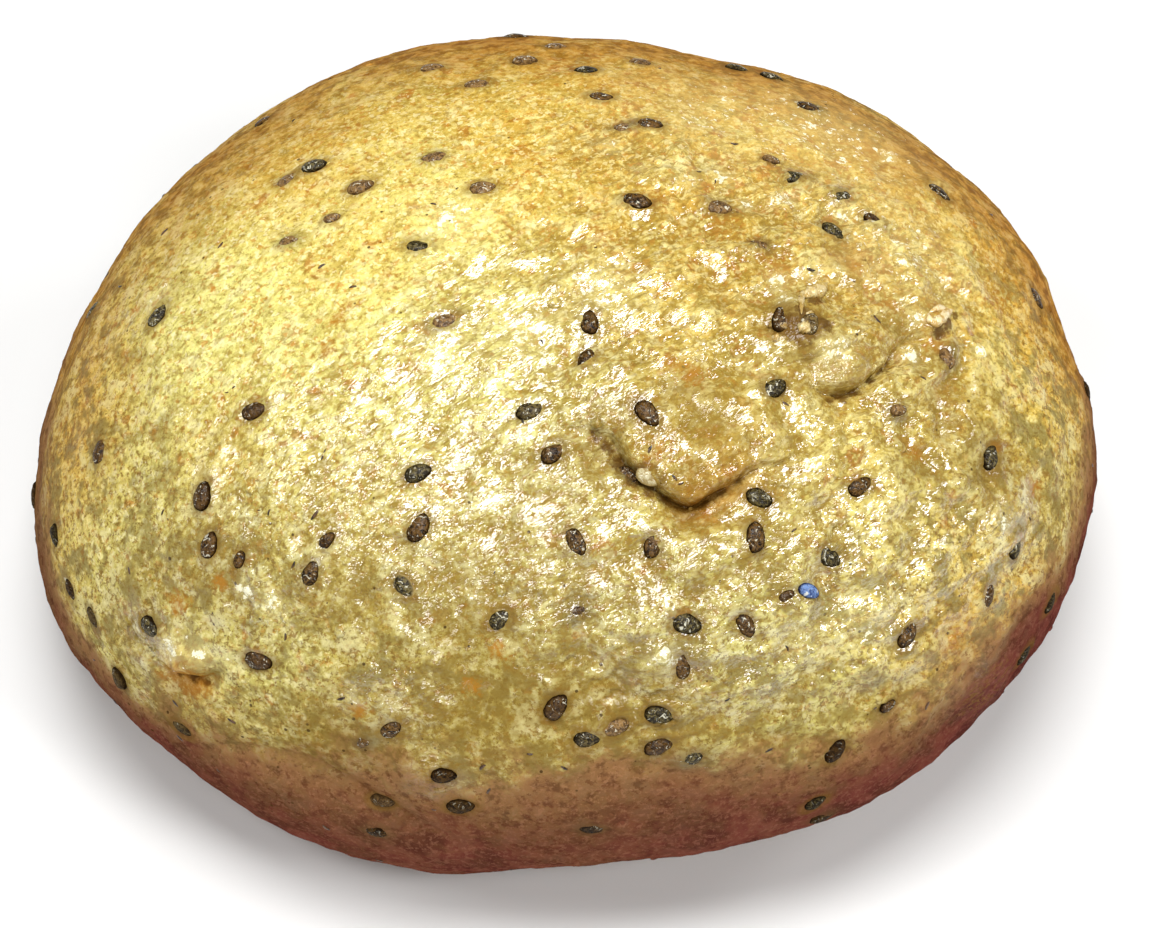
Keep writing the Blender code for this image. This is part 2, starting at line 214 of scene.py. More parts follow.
SEEDS_NEAR = (
    (149, 628, -35), (120, 678, 90), (258, 661, -5), (180, 730, -20), (391, 730, 40), (383, 801, 10),
    (500, 620, 35), (687, 624, -20), (747, 626, -60), (684, 669, 90), (556, 708, 60), (588, 740, 10),
    (616, 728, 20), (659, 715, -10), (659, 748, 20), (444, 776, 10), (460, 807, 20), (835, 750, 70),
    (889, 707, 30), (816, 804, 50),
)
SEEDS_IN_PHOTO = SEEDS_FAR + SEEDS_LEFT + SEEDS_MIDDLE + SEEDS_RIGHT + SEEDS_NEAR

# Chia seeds where the photograph doesn't reach, spread as densely
HIDDEN_SEEDS = 22
HIDDEN_SPACING = 6 * MM
HIDDEN_LOWEST = 3 * MM
HIDDEN_FACING = -0.3
HIDDEN_FACING_LOW = -0.45
HIDDEN_LOW = 12 * MM
SPREAD_SEED = 7

# Seeds that the crust nearly covers
COVERED_SEEDS = (
    (432, 68, 0), (626, 127, 20), (288, 180, 30), (290, 241, 0), (265, 120, 30), (92, 311, 60), (99, 452, 80),
    (434, 157, 20), (810, 107, 10), (797, 177, 0), (841, 195, 30), (760, 245, 10), (629, 477, -50),
    (576, 615, 30), (377, 832, 0), (592, 830, 0), (822, 817, 20), (689, 758, 10), (950, 355, 70), (365, 742, 20),
)
# Seeds that show only as a dark rim through a skin of dough
GHOST_SEEDS = ((120, 678), (180, 730), (92, 619), (809, 324))
# Seeds blurred by a film of crust
VEILED_SEEDS = (
    (360, 186), (482, 186), (477, 83), (525, 61), (432, 68), (288, 180), (290, 241), (434, 157), (332, 218),
    (760, 245), (640, 61), (556, 45), (626, 127), (950, 355), (771, 160), (719, 205), (444, 320), (616, 728),
    (383, 801), (897, 411),
)
PALE_SEEDS = ((650, 475), (404, 586))
# A seed whose blue is a painted reflection
BLUE_SEEDS = ((809, 591),)
SMALL_SEEDS = ((771, 160), (332, 218), (328, 540), (788, 597), (897, 411), (240, 559), (889, 707))

# Fine mesh of the crust, denser on the side that the photograph shows
CUBE_CELLS = 112
FOLD_MARGIN = 2.2 * MM
DENSER_AHEAD = 0.34

# How far the fine relief is sunk, and the width of the soft squeeze that keeps it within the solid's box
SUNK = 0.12 * MM
SQUEEZE = 0.3 * MM


@dataclass
class Patch:
    """A soft round area at a pixel of the photograph."""

    x: float
    y: float
    radius: float
    strength: float


GREASY = (
    Patch(450, 420, 6 * MM, 0.9),
    Patch(370, 450, 5 * MM, 0.9),
    Patch(420, 490, 4 * MM, 0.9),
    Patch(520, 340, 8 * MM, 1.0),
    Patch(620, 300, 6 * MM, 1.0),
    Patch(590, 380, 5 * MM, 1.0),
    Patch(690, 285, 6 * MM, 0.8),
    Patch(560, 385, 7 * MM, 1.0),
    Patch(825, 330, 4 * MM, 0.8),
    Patch(885, 385, 5 * MM, 1.0),
    Patch(870, 340, 4 * MM, 0.8),
    Patch(800, 520, 7 * MM, 0.6),
    Patch(640, 540, 7 * MM, 0.9),
    Patch(560, 560, 6 * MM, 0.7),
    Patch(860, 590, 6 * MM, 0.6),
    Patch(740, 640, 5 * MM, 0.5),
    Patch(1005, 510, 4 * MM, 0.8),
    Patch(940, 570, 5 * MM, 0.5),
    Patch(700, 178, 5 * MM, 0.9),
    Patch(610, 150, 4 * MM, 0.8),
    Patch(780, 200, 4 * MM, 0.8),
    Patch(850, 215, 4 * MM, 0.7),
    Patch(915, 265, 4 * MM, 0.8),
    Patch(780, 275, 4 * MM, 0.9),
    Patch(325, 440, 6 * MM, 0.9),
    Patch(345, 490, 5 * MM, 0.9),
    Patch(200, 330, 8 * MM, 0.3),
    Patch(200, 490, 7 * MM, 0.5),
    Patch(420, 510, 6 * MM, 0.7),
    Patch(310, 560, 5 * MM, 0.5),
    Patch(700, 690, 6 * MM, 0.5),
    Patch(400, 705, 3 * MM, 0.9),
    Patch(355, 700, 2 * MM, 0.9),
    Patch(430, 778, 2 * MM, 0.9),
    Patch(155, 640, 2.5 * MM, 0.9),
    Patch(262, 598, 2.5 * MM, 0.9),
    Patch(245, 545, 3 * MM, 0.7),
    Patch(985, 690, 2.5 * MM, 0.9),
)
LUMPY = (
    Patch(760, 340, 14 * MM, 1.0),
    Patch(890, 430, 11 * MM, 1.0),
    Patch(700, 560, 12 * MM, 0.9),
    Patch(880, 620, 10 * MM, 0.8),
    Patch(560, 460, 7 * MM, 0.7),
    Patch(980, 280, 8 * MM, 0.4),
    Patch(720, 190, 8 * MM, 0.4),
    Patch(430, 560, 8 * MM, 0.4),
    Patch(190, 650, 6 * MM, 0.6),
)
GOLDEN = (
    Patch(600, 60, 13 * MM, 0.9),
    Patch(580, 170, 8 * MM, 0.6),
    Patch(790, 90, 7 * MM, 0.6),
    Patch(820, 130, 13 * MM, 0.9),
    Patch(1000, 250, 9 * MM, 0.8),
    Patch(1075, 380, 6 * MM, 0.8),
    Patch(700, 225, 8 * MM, 0.7),
    Patch(860, 275, 4 * MM, 0.9),
    Patch(720, 430, 5 * MM, 0.5),
    Patch(300, 140, 7 * MM, 0.5),
    Patch(345, 250, 5 * MM, 0.4),
    Patch(310, 180, 6 * MM, 0.35),
    Patch(70, 430, 6 * MM, 0.8),
    Patch(930, 320, 4 * MM, 0.7),
    Patch(220, 450, 4 * MM, 0.4),
    Patch(900, 450, 14 * MM, 0.35),
    Patch(830, 200, 14 * MM, 0.6),
    Patch(760, 300, 6 * MM, 0.4),
    Patch(1010, 600, 8 * MM, 0.7),
    Patch(930, 640, 5 * MM, 0.6),
    Patch(655, 450, 2 * MM, 0.8),
)
# Browned crust, mostly near the outline; along the rim and under the low fold it is also painted shade
BROWNED_AND_SHADE = (
    Patch(620, 34, 8 * MM, 0.8),
    Patch(460, 40, 8 * MM, 0.8),
    Patch(790, 80, 8 * MM, 0.8),
    Patch(920, 150, 8 * MM, 0.8),
    Patch(1040, 270, 7 * MM, 0.8),
    Patch(1095, 400, 6 * MM, 0.8),
    Patch(1095, 520, 5 * MM, 0.8),
    Patch(310, 84, 8 * MM, 0.8),
    Patch(180, 180, 7 * MM, 0.65),
    Patch(90, 300, 7 * MM, 0.8),
    Patch(36, 430, 6 * MM, 0.3),
    Patch(530, 40, 5 * MM, 0.7),
    Patch(850, 264, 1.8 * MM, 0.5),
    Patch(44, 560, 5 * MM, 0.2),
    Patch(140, 210, 7 * MM, 0.5),
    Patch(60, 360, 6 * MM, 0.65),
    Patch(1070, 330, 7 * MM, 0.8),
    Patch(1000, 200, 8 * MM, 0.7),
    Patch(390, 50, 8 * MM, 0.7),
    Patch(700, 50, 8 * MM, 0.7),
    Patch(655, 85, 5 * MM, 0.3),
    Patch(340, 172, 4 * MM, 0.2),
    Patch(735, 480, 2 * MM, 0.5),
    Patch(700, 498, 2 * MM, 0.6),
    Patch(90, 380, 7 * MM, 0.35),
    Patch(60, 500, 6 * MM, 0.15),
    Patch(170, 230, 6 * MM, 0.3),
    Patch(250, 140, 7 * MM, 0.5),
    Patch(188, 676, 2 * MM, 0.9),
    Patch(960, 640, 3 * MM, 0.4),
)
# Painted red bounce light: a burgundy tint low on the sides, as if lit from a red surface beneath
RED_BOUNCE = (
    Patch(1000, 730, 10 * MM, 1.0),
    Patch(1080, 640, 8 * MM, 1.0),
    Patch(1098, 560, 7 * MM, 0.9),
    Patch(860, 820, 8 * MM, 0.9),
    Patch(700, 850, 8 * MM, 0.8),
    Patch(300, 850, 8 * MM, 0.8),
    Patch(480, 870, 9 * MM, 0.8),
    Patch(60, 640, 8 * MM, 0.4),
    Patch(150, 770, 9 * MM, 0.8),
)
# Paler yellow crust; on the low front and on the ridge of the low fold it is painted light
PALE_YELLOW = (
    Patch(250, 300, 12 * MM, 0.8),
    Patch(430, 270, 9 * MM, 0.6),
    Patch(190, 420, 9 * MM, 0.7),
    Patch(480, 400, 9 * MM, 0.9),
    Patch(620, 580, 8 * MM, 0.6),
    Patch(780, 560, 6 * MM, 0.6),
    Patch(830, 640, 8 * MM, 0.9),
    Patch(800, 700, 7 * MM, 1.0),
    Patch(900, 520, 8 * MM, 0.8),
    Patch(700, 600, 7 * MM, 0.7),
    Patch(215, 655, 3 * MM, 0.9),
    Patch(270, 655, 4 * MM, 0.9),
    Patch(645, 645, 3.5 * MM, 0.8),
)
OLIVE = (
    Patch(440, 650, 11 * MM, 0.9),
    Patch(240, 610, 7 * MM, 0.7),
    Patch(130, 600, 6 * MM, 0.8),
    Patch(600, 700, 7 * MM, 1.0),
    Patch(330, 690, 8 * MM, 0.6),
    Patch(575, 450, 4.5 * MM, 0.9),
    Patch(210, 540, 3 * MM, 0.7),
    Patch(880, 700, 3 * MM, 0.5),
    Patch(770, 372, 2.5 * MM, 0.7),
    Patch(820, 300, 3 * MM, 0.5),
    Patch(790, 370, 3 * MM, 0.6),
    Patch(985, 480, 3 * MM, 0.8),
    Patch(1050, 500, 4 * MM, 0.6),
)
# Orange-brown spots; under the low fold, near the main crease and under the flake they are painted shade
ORANGE = (
    Patch(188, 682, 1.7 * MM, 1.0),
    Patch(170, 675, 1.1 * MM, 1.0),
    Patch(668, 362, 1.0 * MM, 0.7),
    Patch(692, 374, 0.9 * MM, 0.8),
    Patch(656, 452, 1.0 * MM, 0.6),
    Patch(640, 410, 1.2 * MM, 0.3),
    Patch(700, 502, 1.3 * MM, 0.7),
    Patch(358, 710, 0.9 * MM, 1.0),
    Patch(179, 604, 0.9 * MM, 0.9),
    Patch(955, 638, 0.9 * MM, 0.8),
    Patch(855, 478, 0.8 * MM, 0.9),
    Patch(918, 450, 0.8 * MM, 0.8),
    Patch(352, 305, 0.8 * MM, 0.9),
    Patch(328, 352, 0.8 * MM, 0.8),
    Patch(340, 318, 0.6 * MM, 0.9),
    Patch(388, 274, 0.7 * MM, 0.8),
    Patch(248, 330, 1.2 * MM, 0.5),
    Patch(412, 365, 1.6 * MM, 0.6),
    Patch(780, 268, 2.0 * MM, 0.6),
    Patch(856, 270, 0.7 * MM, 0.8),
    Patch(863, 257, 0.7 * MM, 0.8),
    Patch(937, 341, 1.0 * MM, 0.9),
    Patch(930, 303, 0.9 * MM, 0.6),
    Patch(770, 206, 0.5 * MM, 0.7),
    Patch(800, 181, 0.7 * MM, 0.6),
    Patch(841, 194, 0.5 * MM, 0.7),
    Patch(797, 146, 0.8 * MM, 0.5),
    Patch(735, 160, 1.2 * MM, 0.6),
    Patch(868, 150, 1.5 * MM, 0.6),
    Patch(655, 200, 1.4 * MM, 0.6),
    Patch(600, 235, 1.4 * MM, 0.6),
    Patch(720, 225, 1.6 * MM, 0.6),
    Patch(1000, 300, 1.4 * MM, 0.6),
    Patch(220, 583, 0.7 * MM, 0.8),
    Patch(890, 305, 1.0 * MM, 0.8),
    Patch(500, 650, 0.9 * MM, 0.7),
    Patch(470, 690, 0.8 * MM, 0.6),
    Patch(600, 545, 0.9 * MM, 0.7),
    Patch(812, 545, 0.8 * MM, 0.7),
    Patch(1000, 445, 0.9 * MM, 0.7),
    Patch(1038, 486, 1.0 * MM, 0.7),
)
# Painted highlights: white spots on ridges, lumps and greasy skin, where the crust would glint
WHITE_HIGHLIGHTS = (
    Patch(176, 645, 1.1 * MM, 0.9),
    Patch(202, 650, 1.1 * MM, 0.8),
    Patch(226, 658, 0.6 * MM, 0.6),
    Patch(663, 656, 1.0 * MM, 0.9),
    Patch(979, 671, 0.8 * MM, 1.0),
    Patch(272, 602, 0.9 * MM, 0.8),
    Patch(246, 590, 0.6 * MM, 0.9),
    Patch(350, 700, 0.6 * MM, 0.7),
    Patch(452, 220, 2.5 * MM, 0.7),
    Patch(440, 345, 2.2 * MM, 0.7),
    Patch(520, 330, 2.5 * MM, 0.7),
    Patch(600, 290, 2.5 * MM, 0.7),
    Patch(160, 296, 1.0 * MM, 0.8),
    Patch(830, 355, 1.5 * MM, 0.7),
    Patch(1000, 520, 1.3 * MM, 0.8),
    Patch(870, 620, 2.5 * MM, 0.5),
    Patch(800, 640, 2.0 * MM, 0.5),
    Patch(722, 174, 1.0 * MM, 0.8),
    Patch(690, 182, 0.8 * MM, 0.7),
    Patch(782, 199, 0.9 * MM, 0.8),
    Patch(747, 202, 0.6 * MM, 0.8),
    Patch(845, 215, 0.5 * MM, 0.8),
    Patch(888, 156, 0.6 * MM, 1.0),
    Patch(830, 130, 7 * MM, 0.5),
    Patch(700, 110, 6 * MM, 0.4),
    Patch(900, 250, 5 * MM, 0.5),
    Patch(915, 317, 0.6 * MM, 1.0),
    Patch(914, 354, 0.8 * MM, 1.0),
    Patch(979, 352, 0.6 * MM, 1.0),
    Patch(777, 280, 0.9 * MM, 0.9),
    Patch(812, 277, 0.6 * MM, 0.8),
    Patch(837, 270, 0.5 * MM, 0.8),
    Patch(785, 303, 0.7 * MM, 0.9),
    Patch(244, 588, 0.4 * MM, 1.0),
    Patch(273, 600, 0.4 * MM, 1.0),
    Patch(282, 615, 0.4 * MM, 0.9),
    Patch(66, 578, 0.6 * MM, 0.9),
    Patch(320, 560, 0.5 * MM, 0.9),
    Patch(610, 148, 0.8 * MM, 0.7),
    Patch(640, 170, 0.7 * MM, 0.7),
)
SHADE = (
    Patch(778, 329, 0.7 * MM, 0.9),
    Patch(789, 334, 0.9 * MM, 0.9),
    Patch(805, 337, 1.0 * MM, 0.9),
    Patch(820, 329, 0.7 * MM, 0.8),
    Patch(796, 317, 0.6 * MM, 0.9),
    Patch(811, 304, 0.5 * MM, 0.9),
    Patch(819, 300, 0.4 * MM, 0.8),
    Patch(352, 712, 0.4 * MM, 0.5),
    Patch(366, 714, 0.4 * MM, 0.5),
    Patch(953, 317, 0.4 * MM, 0.9),
    Patch(946, 326, 0.5 * MM, 1.0),
    Patch(937, 333, 0.6 * MM, 0.9),
    Patch(189, 680, 0.6 * MM, 0.9),
    Patch(176, 675, 0.5 * MM, 0.7),
    Patch(204, 684, 0.5 * MM, 0.6),
    Patch(762, 246, 0.5 * MM, 0.8),
    Patch(717, 206, 0.5 * MM, 0.8),
    Patch(769, 160, 0.5 * MM, 0.7),
    Patch(864, 262, 0.4 * MM, 0.7),
    Patch(594, 432, 0.5 * MM, 0.6),
    Patch(606, 444, 0.6 * MM, 0.8),
    Patch(618, 460, 0.7 * MM, 0.9),
    Patch(634, 476, 0.7 * MM, 0.9),
    Patch(652, 488, 0.6 * MM, 0.9),
    Patch(670, 497, 0.6 * MM, 0.9),
    Patch(688, 503, 0.6 * MM, 0.9),
    Patch(706, 499, 0.6 * MM, 0.9),
    Patch(722, 489, 0.6 * MM, 0.8),
    Patch(740, 478, 0.6 * MM, 0.7),
    Patch(758, 469, 0.5 * MM, 0.5),
    Patch(648, 460, 0.4 * MM, 0.5),
    Patch(834, 396, 0.4 * MM, 0.7),
    Patch(847, 394, 0.5 * MM, 0.8),
    Patch(859, 388, 0.5 * MM, 0.8),
    Patch(871, 378, 0.5 * MM, 0.8),
    Patch(883, 366, 0.4 * MM, 0.8),
    Patch(893, 355, 0.4 * MM, 0.7),
)
# Where the brown band of painted shade on the low sides starts lower
LOW_YELLOW = (
    Patch(140, 690, 8 * MM, 0.7),
    Patch(80, 600, 7 * MM, 0.8),
    Patch(250, 745, 6 * MM, 0.3),
    Patch(850, 650, 6 * MM, 0.5),
    Patch(760, 690, 5 * MM, 0.3),
)
# Where the brown band of painted shade on the low sides reaches higher
HIGH_BROWN = (
    Patch(610, 795, 5 * MM, 0.5),
    Patch(695, 805, 5 * MM, 0.35),
    Patch(1024, 645, 4 * MM, 0.95),
    Patch(1074, 600, 3 * MM, 0.8),
    Patch(985, 700, 3 * MM, 0.6),
    Patch(1100, 500, 3 * MM, 0.6),
)
# Darker olive-brown crust, mostly painted shade: in dips and folds, round the knob and on the low front that turns from
# the light
DIM = (
    Patch(575, 712, 5.5 * MM, 0.8),
    Patch(765, 485, 3.5 * MM, 0.4),
    Patch(700, 740, 4 * MM, 0.5),
    Patch(130, 650, 3 * MM, 0.5),
    Patch(480, 575, 4 * MM, 0.45),
    Patch(550, 575, 3.5 * MM, 0.35),
    Patch(700, 575, 4 * MM, 0.45),
    Patch(765, 570, 4 * MM, 0.35),
    Patch(552, 490, 3.5 * MM, 0.5),
    Patch(480, 650, 4 * MM, 0.45),
    Patch(340, 732, 3.5 * MM, 0.8),
    Patch(480, 735, 4 * MM, 0.7),
    Patch(690, 402, 2.5 * MM, 0.45),
    Patch(975, 405, 3 * MM, 0.2),
    Patch(470, 700, 6 * MM, 0.5),
    Patch(650, 730, 6 * MM, 0.6),
    Patch(710, 425, 3 * MM, 0.45),
    Patch(680, 400, 3 * MM, 0.3),
    Patch(690, 490, 1.5 * MM, 0.5),
    Patch(210, 575, 4 * MM, 0.6),
    Patch(988, 470, 2.5 * MM, 0.9),
    Patch(605, 450, 2.2 * MM, 0.8),
    Patch(785, 325, 2.6 * MM, 0.8),
    Patch(335, 600, 3 * MM, 0.5),
    Patch(400, 745, 4 * MM, 0.7),
    Patch(310, 730, 3 * MM, 0.5),
    Patch(895, 330, 1.6 * MM, 0.6),
    Patch(915, 470, 2.5 * MM, 0.5),
    Patch(165, 720, 3 * MM, 0.6),
    Patch(1050, 500, 4 * MM, 0.4),
    Patch(910, 320, 2.5 * MM, 0.5),
    Patch(225, 738, 4 * MM, 0.5),
    Patch(300, 765, 4 * MM, 0.5),
    Patch(760, 745, 5 * MM, 0.5),
    Patch(840, 740, 5 * MM, 0.6),
    Patch(905, 715, 4 * MM, 0.5),
    Patch(965, 405, 5 * MM, 0.4),
    Patch(618, 418, 3 * MM, 0.45),
    Patch(408, 578, 4 * MM, 0.3),
    Patch(630, 572, 4 * MM, 0.25),
    Patch(765, 420, 4 * MM, 0.25),
    Patch(935, 640, 3 * MM, 0.3),
    Patch(120, 500, 3 * MM, 0.1),
    Patch(135, 585, 3 * MM, 0.4),
    Patch(105, 450, 2.5 * MM, 0.25),
    Patch(800, 345, 2.5 * MM, 0.7),
    Patch(850, 385, 2 * MM, 0.5),
    Patch(850, 262, 1.8 * MM, 0.45),
)
GRAINY = (
    Patch(240, 310, 13 * MM, 1.0),
    Patch(420, 170, 12 * MM, 0.9),
    Patch(620, 120, 12 * MM, 0.7),
    Patch(820, 130, 12 * MM, 0.9),
    Patch(960, 250, 8 * MM, 0.8),
    Patch(150, 520, 9 * MM, 0.7),
    Patch(330, 230, 10 * MM, 0.8),
    Patch(850, 710, 9 * MM, 0.8),
    Patch(600, 760, 9 * MM, 0.6),
    Patch(300, 720, 8 * MM, 0.6),
)
PATCHES = {
    "greasy": GREASY, "lumpy": LUMPY, "golden": GOLDEN, "browned_and_shade": BROWNED_AND_SHADE, "red_bounce": RED_BOUNCE,
    "pale": PALE_YELLOW, "olive": OLIVE, "grainy": GRAINY, "low_yellow": LOW_YELLOW, "dim": DIM,
    "orange": ORANGE, "white_highlight": WHITE_HIGHLIGHTS, "shade": SHADE, "high_brown": HIGH_BROWN,
}


def lined_up(vectors):
    """The vectors, each with a length of 1."""
    return vectors / np.linalg.norm(vectors, axis=-1, keepdims=True)


def half_axes(ups):
    """Half sizes of the body along X, Y and Z, above and below its widest level."""
    rise = np.where(ups > 0, DOME_RISE, UNDER_REACH)
    return np.stack((np.full_like(rise, LENGTH / 2), np.full_like(rise, WIDTH / 2), rise), axis=-1)


def rim_direction(angle):
    """The direction of the outline that the photograph shows at an angle round it."""
    return math.cos(angle) * VIEW_RIGHT + math.sin(angle) * VIEW_UP


def reach(directions):
    """How far the smooth body reaches in each direction of the unit sphere that it is stretched from."""
    stretched = directions * half_axes(directions[..., 2])
    boxiness = (np.abs(directions) ** ROUNDNESS).sum(axis=-1) ** (-1 / ROUNDNESS)
    length = np.linalg.norm(stretched, axis=-1)
    swell = np.zeros_like(boxiness)
    for angle, spread, height in RIM_SWELLS:
        towards = rim_direction(math.radians(angle))
        narrowness = 1 / (1 - math.cos(math.radians(spread)))
        swell += height * np.exp((directions @ towards - 1) * narrowness)
    return stretched * (boxiness + swell / length)[..., None]


def smooth_body(directions):
    return MIDDLE + reach(directions)


def outward(directions):
    """Outward normals of the smooth body."""
    axes = half_axes(directions[..., 2])
    slope = np.sign(directions) * np.abs(directions) ** (ROUNDNESS - 1) / axes
    return lined_up(slope)


def lines_of_sight(pixels):
    """Directions in which the photograph's pixels look."""
    pitch = SENSOR_WIDTH / PHOTO_WIDTH
    across = (pixels[:, :1] - PHOTO_WIDTH / 2) * pitch
    up = (PHOTO_HEIGHT / 2 - pixels[:, 1:2]) * pitch
    return lined_up(VIEW_FORWARD * LENS + VIEW_RIGHT * across + VIEW_UP * up)


def to_pixels(points):
    """Where the photograph shows the points."""
    away = points - EYE
    scale = LENS / (away @ VIEW_FORWARD) * PHOTO_WIDTH / SENSOR_WIDTH
    across = PHOTO_WIDTH / 2 + (away @ VIEW_RIGHT) * scale
    down = PHOTO_HEIGHT / 2 - (away @ VIEW_UP) * scale
    return np.column_stack((across, down))


def seen_directions(pixels):
    """Directions of the smooth body's points that the pixels show, or that they pass closest to."""
    pixels = np.asarray(pixels, float)
    sight = lines_of_sight(pixels)
    travel = np.linspace(VIEW_DISTANCE - LENGTH, VIEW_DISTANCE + LENGTH, 1600)
    points = EYE + sight[:, None, :] * travel[None, :, None] - MIDDLE
    directions = lined_up(points / half_axes(points[..., 2]))
    depth = np.linalg.norm(points, axis=-1) / np.linalg.norm(reach(directions), axis=-1)
    entered = depth < 1
    step = np.where(entered.any(axis=1), entered.argmax(axis=1), depth.argmin(axis=1))
    return directions[np.arange(len(pixels)), step]


def smooth_path(points, steps=8):
    """A Catmull-Rom curve through the points, which may carry values beside their coordinates."""
    ends = np.vstack((2 * points[0] - points[1], points, 2 * points[-1] - points[-2]))
    curve = []
    for before, start, end, after in zip(ends, ends[1:], ends[2:], ends[3:]):
        for share in np.arange(steps) / steps:
            bend = 2 * start + (end - before) * share
            bend += (2 * before - 5 * start + 4 * end - after) * share ** 2
            bend += (3 * start - before - 3 * end + after) * share ** 3
            curve.append(bend / 2)
    curve.append(points[-1])
    return np.array(curve)


def measure_from_path(points, normals, path):
    """Signed distance of each point from the path, left positive, its share of the depth, and the way left."""
    nearest = np.full(len(points), np.inf)
    share = np.zeros(len(points))
    side = np.zeros(len(points))
    left = np.zeros_like(points)
    for start, end in zip(path, path[1:]):
        run = end[:3] - start[:3]
        along = np.clip((points - start[:3]) @ run / (run @ run), 0, 1)
        offset = points - start[:3] - along[:, None] * run
        distance = np.linalg.norm(offset, axis=1)
        closer = distance < nearest
        leftward = lined_up(np.cross(normals[closer], run))
        nearest[closer] = distance[closer]
        share[closer] = (start[3] + along * (end[3] - start[3]))[closer]
        side[closer] = np.sign((offset[closer] * leftward).sum(axis=1))
        left[closer] = leftward
    return nearest * side, np.clip(share, 0, 1), left


def fold_path(fold):
    """The fold's path on the smooth body, with its share of the depth as a fourth value."""
    table = np.array(fold.points)
    on_body = smooth_body(seen_directions(table[:, :2]))
    return smooth_path(np.column_stack((on_body, table[:, 2])))


def add_fold(fold, points, normals):
    """How a fold moves the points: a groove, the swollen edge of its flap, and the flap's overhang."""
    distance, share, left = measure_from_path(points, normals, fold_path(fold))
    on_flap = distance > 0
    reach_down = np.where(on_flap, 0.7 * fold.width, 1.3 * fold.width)
    groove = -fold.depth * np.exp(-np.abs(distance) / reach_down)
    swell = fold.flap_rise * np.exp(-((distance - fold.flap_width) / fold.flap_width) ** 2)
    lean = fold.overhang * np.exp(-((distance - fold.width) / (0.8 * fold.width)) ** 2) * on_flap
    lift = share * (groove + np.where(on_flap, swell, 0))
    return normals * lift[:, None] - left * (share * lean)[:, None]


def add_lump(lump, points, normals):
    centre = smooth_body(seen_directions([(lump.x, lump.y)]))[0]
    distance = np.linalg.norm(points - centre, axis=1)
    return normals * (lump.height * np.exp(-(distance / lump.radius) ** 2))[:, None]


def add_knobs(points, normals):
    lift = np.zeros(len(points))
    for spacing, height in KNOBS:
        lift += [height * noise.noise(Vector(point / spacing)) for point in points]
    return normals * lift[:, None]


def crust(directions):
    """Points of the finished crust, and the smooth body's normals there."""
    points = smooth_body(directions)
    normals = outward(directions)
    moved = points + add_knobs(points, normals)
    for fold in FOLDS:
        moved += add_fold(fold, points, normals)
    for lump in LUMPS:
        moved += add_lump(lump, points, normals)
    return moved, normals


def cube_sphere(cells):
    """A unit sphere of even quads: a cube with a grid on each side, blown up."""
    sphere = bmesh.new()
    bmesh.ops.create_cube(sphere, size=2.0)
    bmesh.ops.subdivide_edges(sphere, edges=sphere.edges[:], cuts=cells - 1, use_grid_fill=True)
    for vert in sphere.verts:
        vert.co = Vector([math.tan(part * math.pi / 4) for part in vert.co]).normalized()
    return sphere


def refine_near_folds(sphere):
    """Halves the sphere's edges where the folds will be."""
    directions = np.array([vert.co for vert in sphere.verts])
    points = smooth_body(directions)
    normals = outward(directions)
    near = np.zeros(len(points), bool)
    for fold in FOLDS:
        distance, _, _ = measure_from_path(points, normals, fold_path(fold))
        near |= np.abs(distance) < FOLD_MARGIN
    chosen = [edge for edge in sphere.edges if all(near[vert.index] for vert in edge.verts)]
    bmesh.ops.subdivide_edges(sphere, edges=chosen, cuts=1, use_grid_fill=True)
    for vert in sphere.verts:
        vert.co.normalize()


def aim_at(pixels):
    """Directions whose crust points the photograph shows at the pixels."""
    wanted = np.asarray(pixels, float)
    aim = wanted.copy()
    for _ in range(3):
        shown = to_pixels(crust(seen_directions(aim))[0])
        aim += wanted - shown
    return seen_directions(aim)


def hidden_directions():
    """Directions spread evenly over the sides that the photograph doesn't show."""
    draw = random.Random(SPREAD_SEED)
    chosen = []
    places = []
    while len(chosen) < HIDDEN_SEEDS:
        tried = lined_up(np.array([[draw.gauss(0, 1) for _ in range(3)]]))
        place = smooth_body(tried)[0]
        facing = outward(tried)[0] @ lined_up(EYE - place)
        if place[2] < HIDDEN_LOWEST or facing > (HIDDEN_FACING_LOW if place[2] < HIDDEN_LOW else HIDDEN_FACING):
            continue
        if all(np.linalg.norm(place - other) > HIDDEN_SPACING for other in places):
            chosen.append(tried[0])
            places.append(place)
    return np.array(chosen)


def seed_turns(normals, angles):
    """The long side of each seed, turned in the photograph's plane and laid flat on the crust."""
    drawn = np.cos(angles)[:, None] * VIEW_RIGHT + np.sin(angles)[:, None] * VIEW_UP
    return lined_up(drawn - (drawn * normals).sum(axis=1)[:, None] * normals)


def noise_at(points, spacing, shift=0.0):
    return np.array([noise.noise(Vector(point)) for point in points / spacing + shift])


def patches_at(patches, points):
    """How strongly each point lies in the patches, from 0 to 1."""
    outside = np.ones(len(points))
    for patch in patches:
        centre = smooth_body(seen_directions([(patch.x, patch.y)]))[0]
        distance = np.linalg.norm(points - centre, axis=1)
        outside *= 1 - patch.strength * np.exp(-(distance / patch.radius) ** 2)
    return 1 - outside


def within_box(points):
    """The points, squeezed softly where they would leave the solid's box, and above the floor."""
    low, high = (np.array(corner) for corner in CAD_BOX)
    middle = (low + high) / 2
    room = (high - low) / 2 - SQUEEZE
    offset = points - middle
    beyond = np.maximum(np.abs(offset) - room, 0)
    held = middle + np.sign(offset) * (np.minimum(np.abs(offset), room) + SQUEEZE * (1 - np.exp(-beyond / SQUEEZE)))
    held[:, 2] = np.where(points[:, 2] < middle[2], np.maximum(points[:, 2], 0), held[:, 2])
    return held


def finish_mesh(name, body, material):
    mesh = bpy.data.meshes.new(name)
    body.to_mesh(mesh)
    body.free()
    mesh.materials.append(material)
    mesh.shade_smooth()
    made = bpy.data.objects.new(name, mesh)
    bpy.context.scene.collection.objects.link(made)
    return made


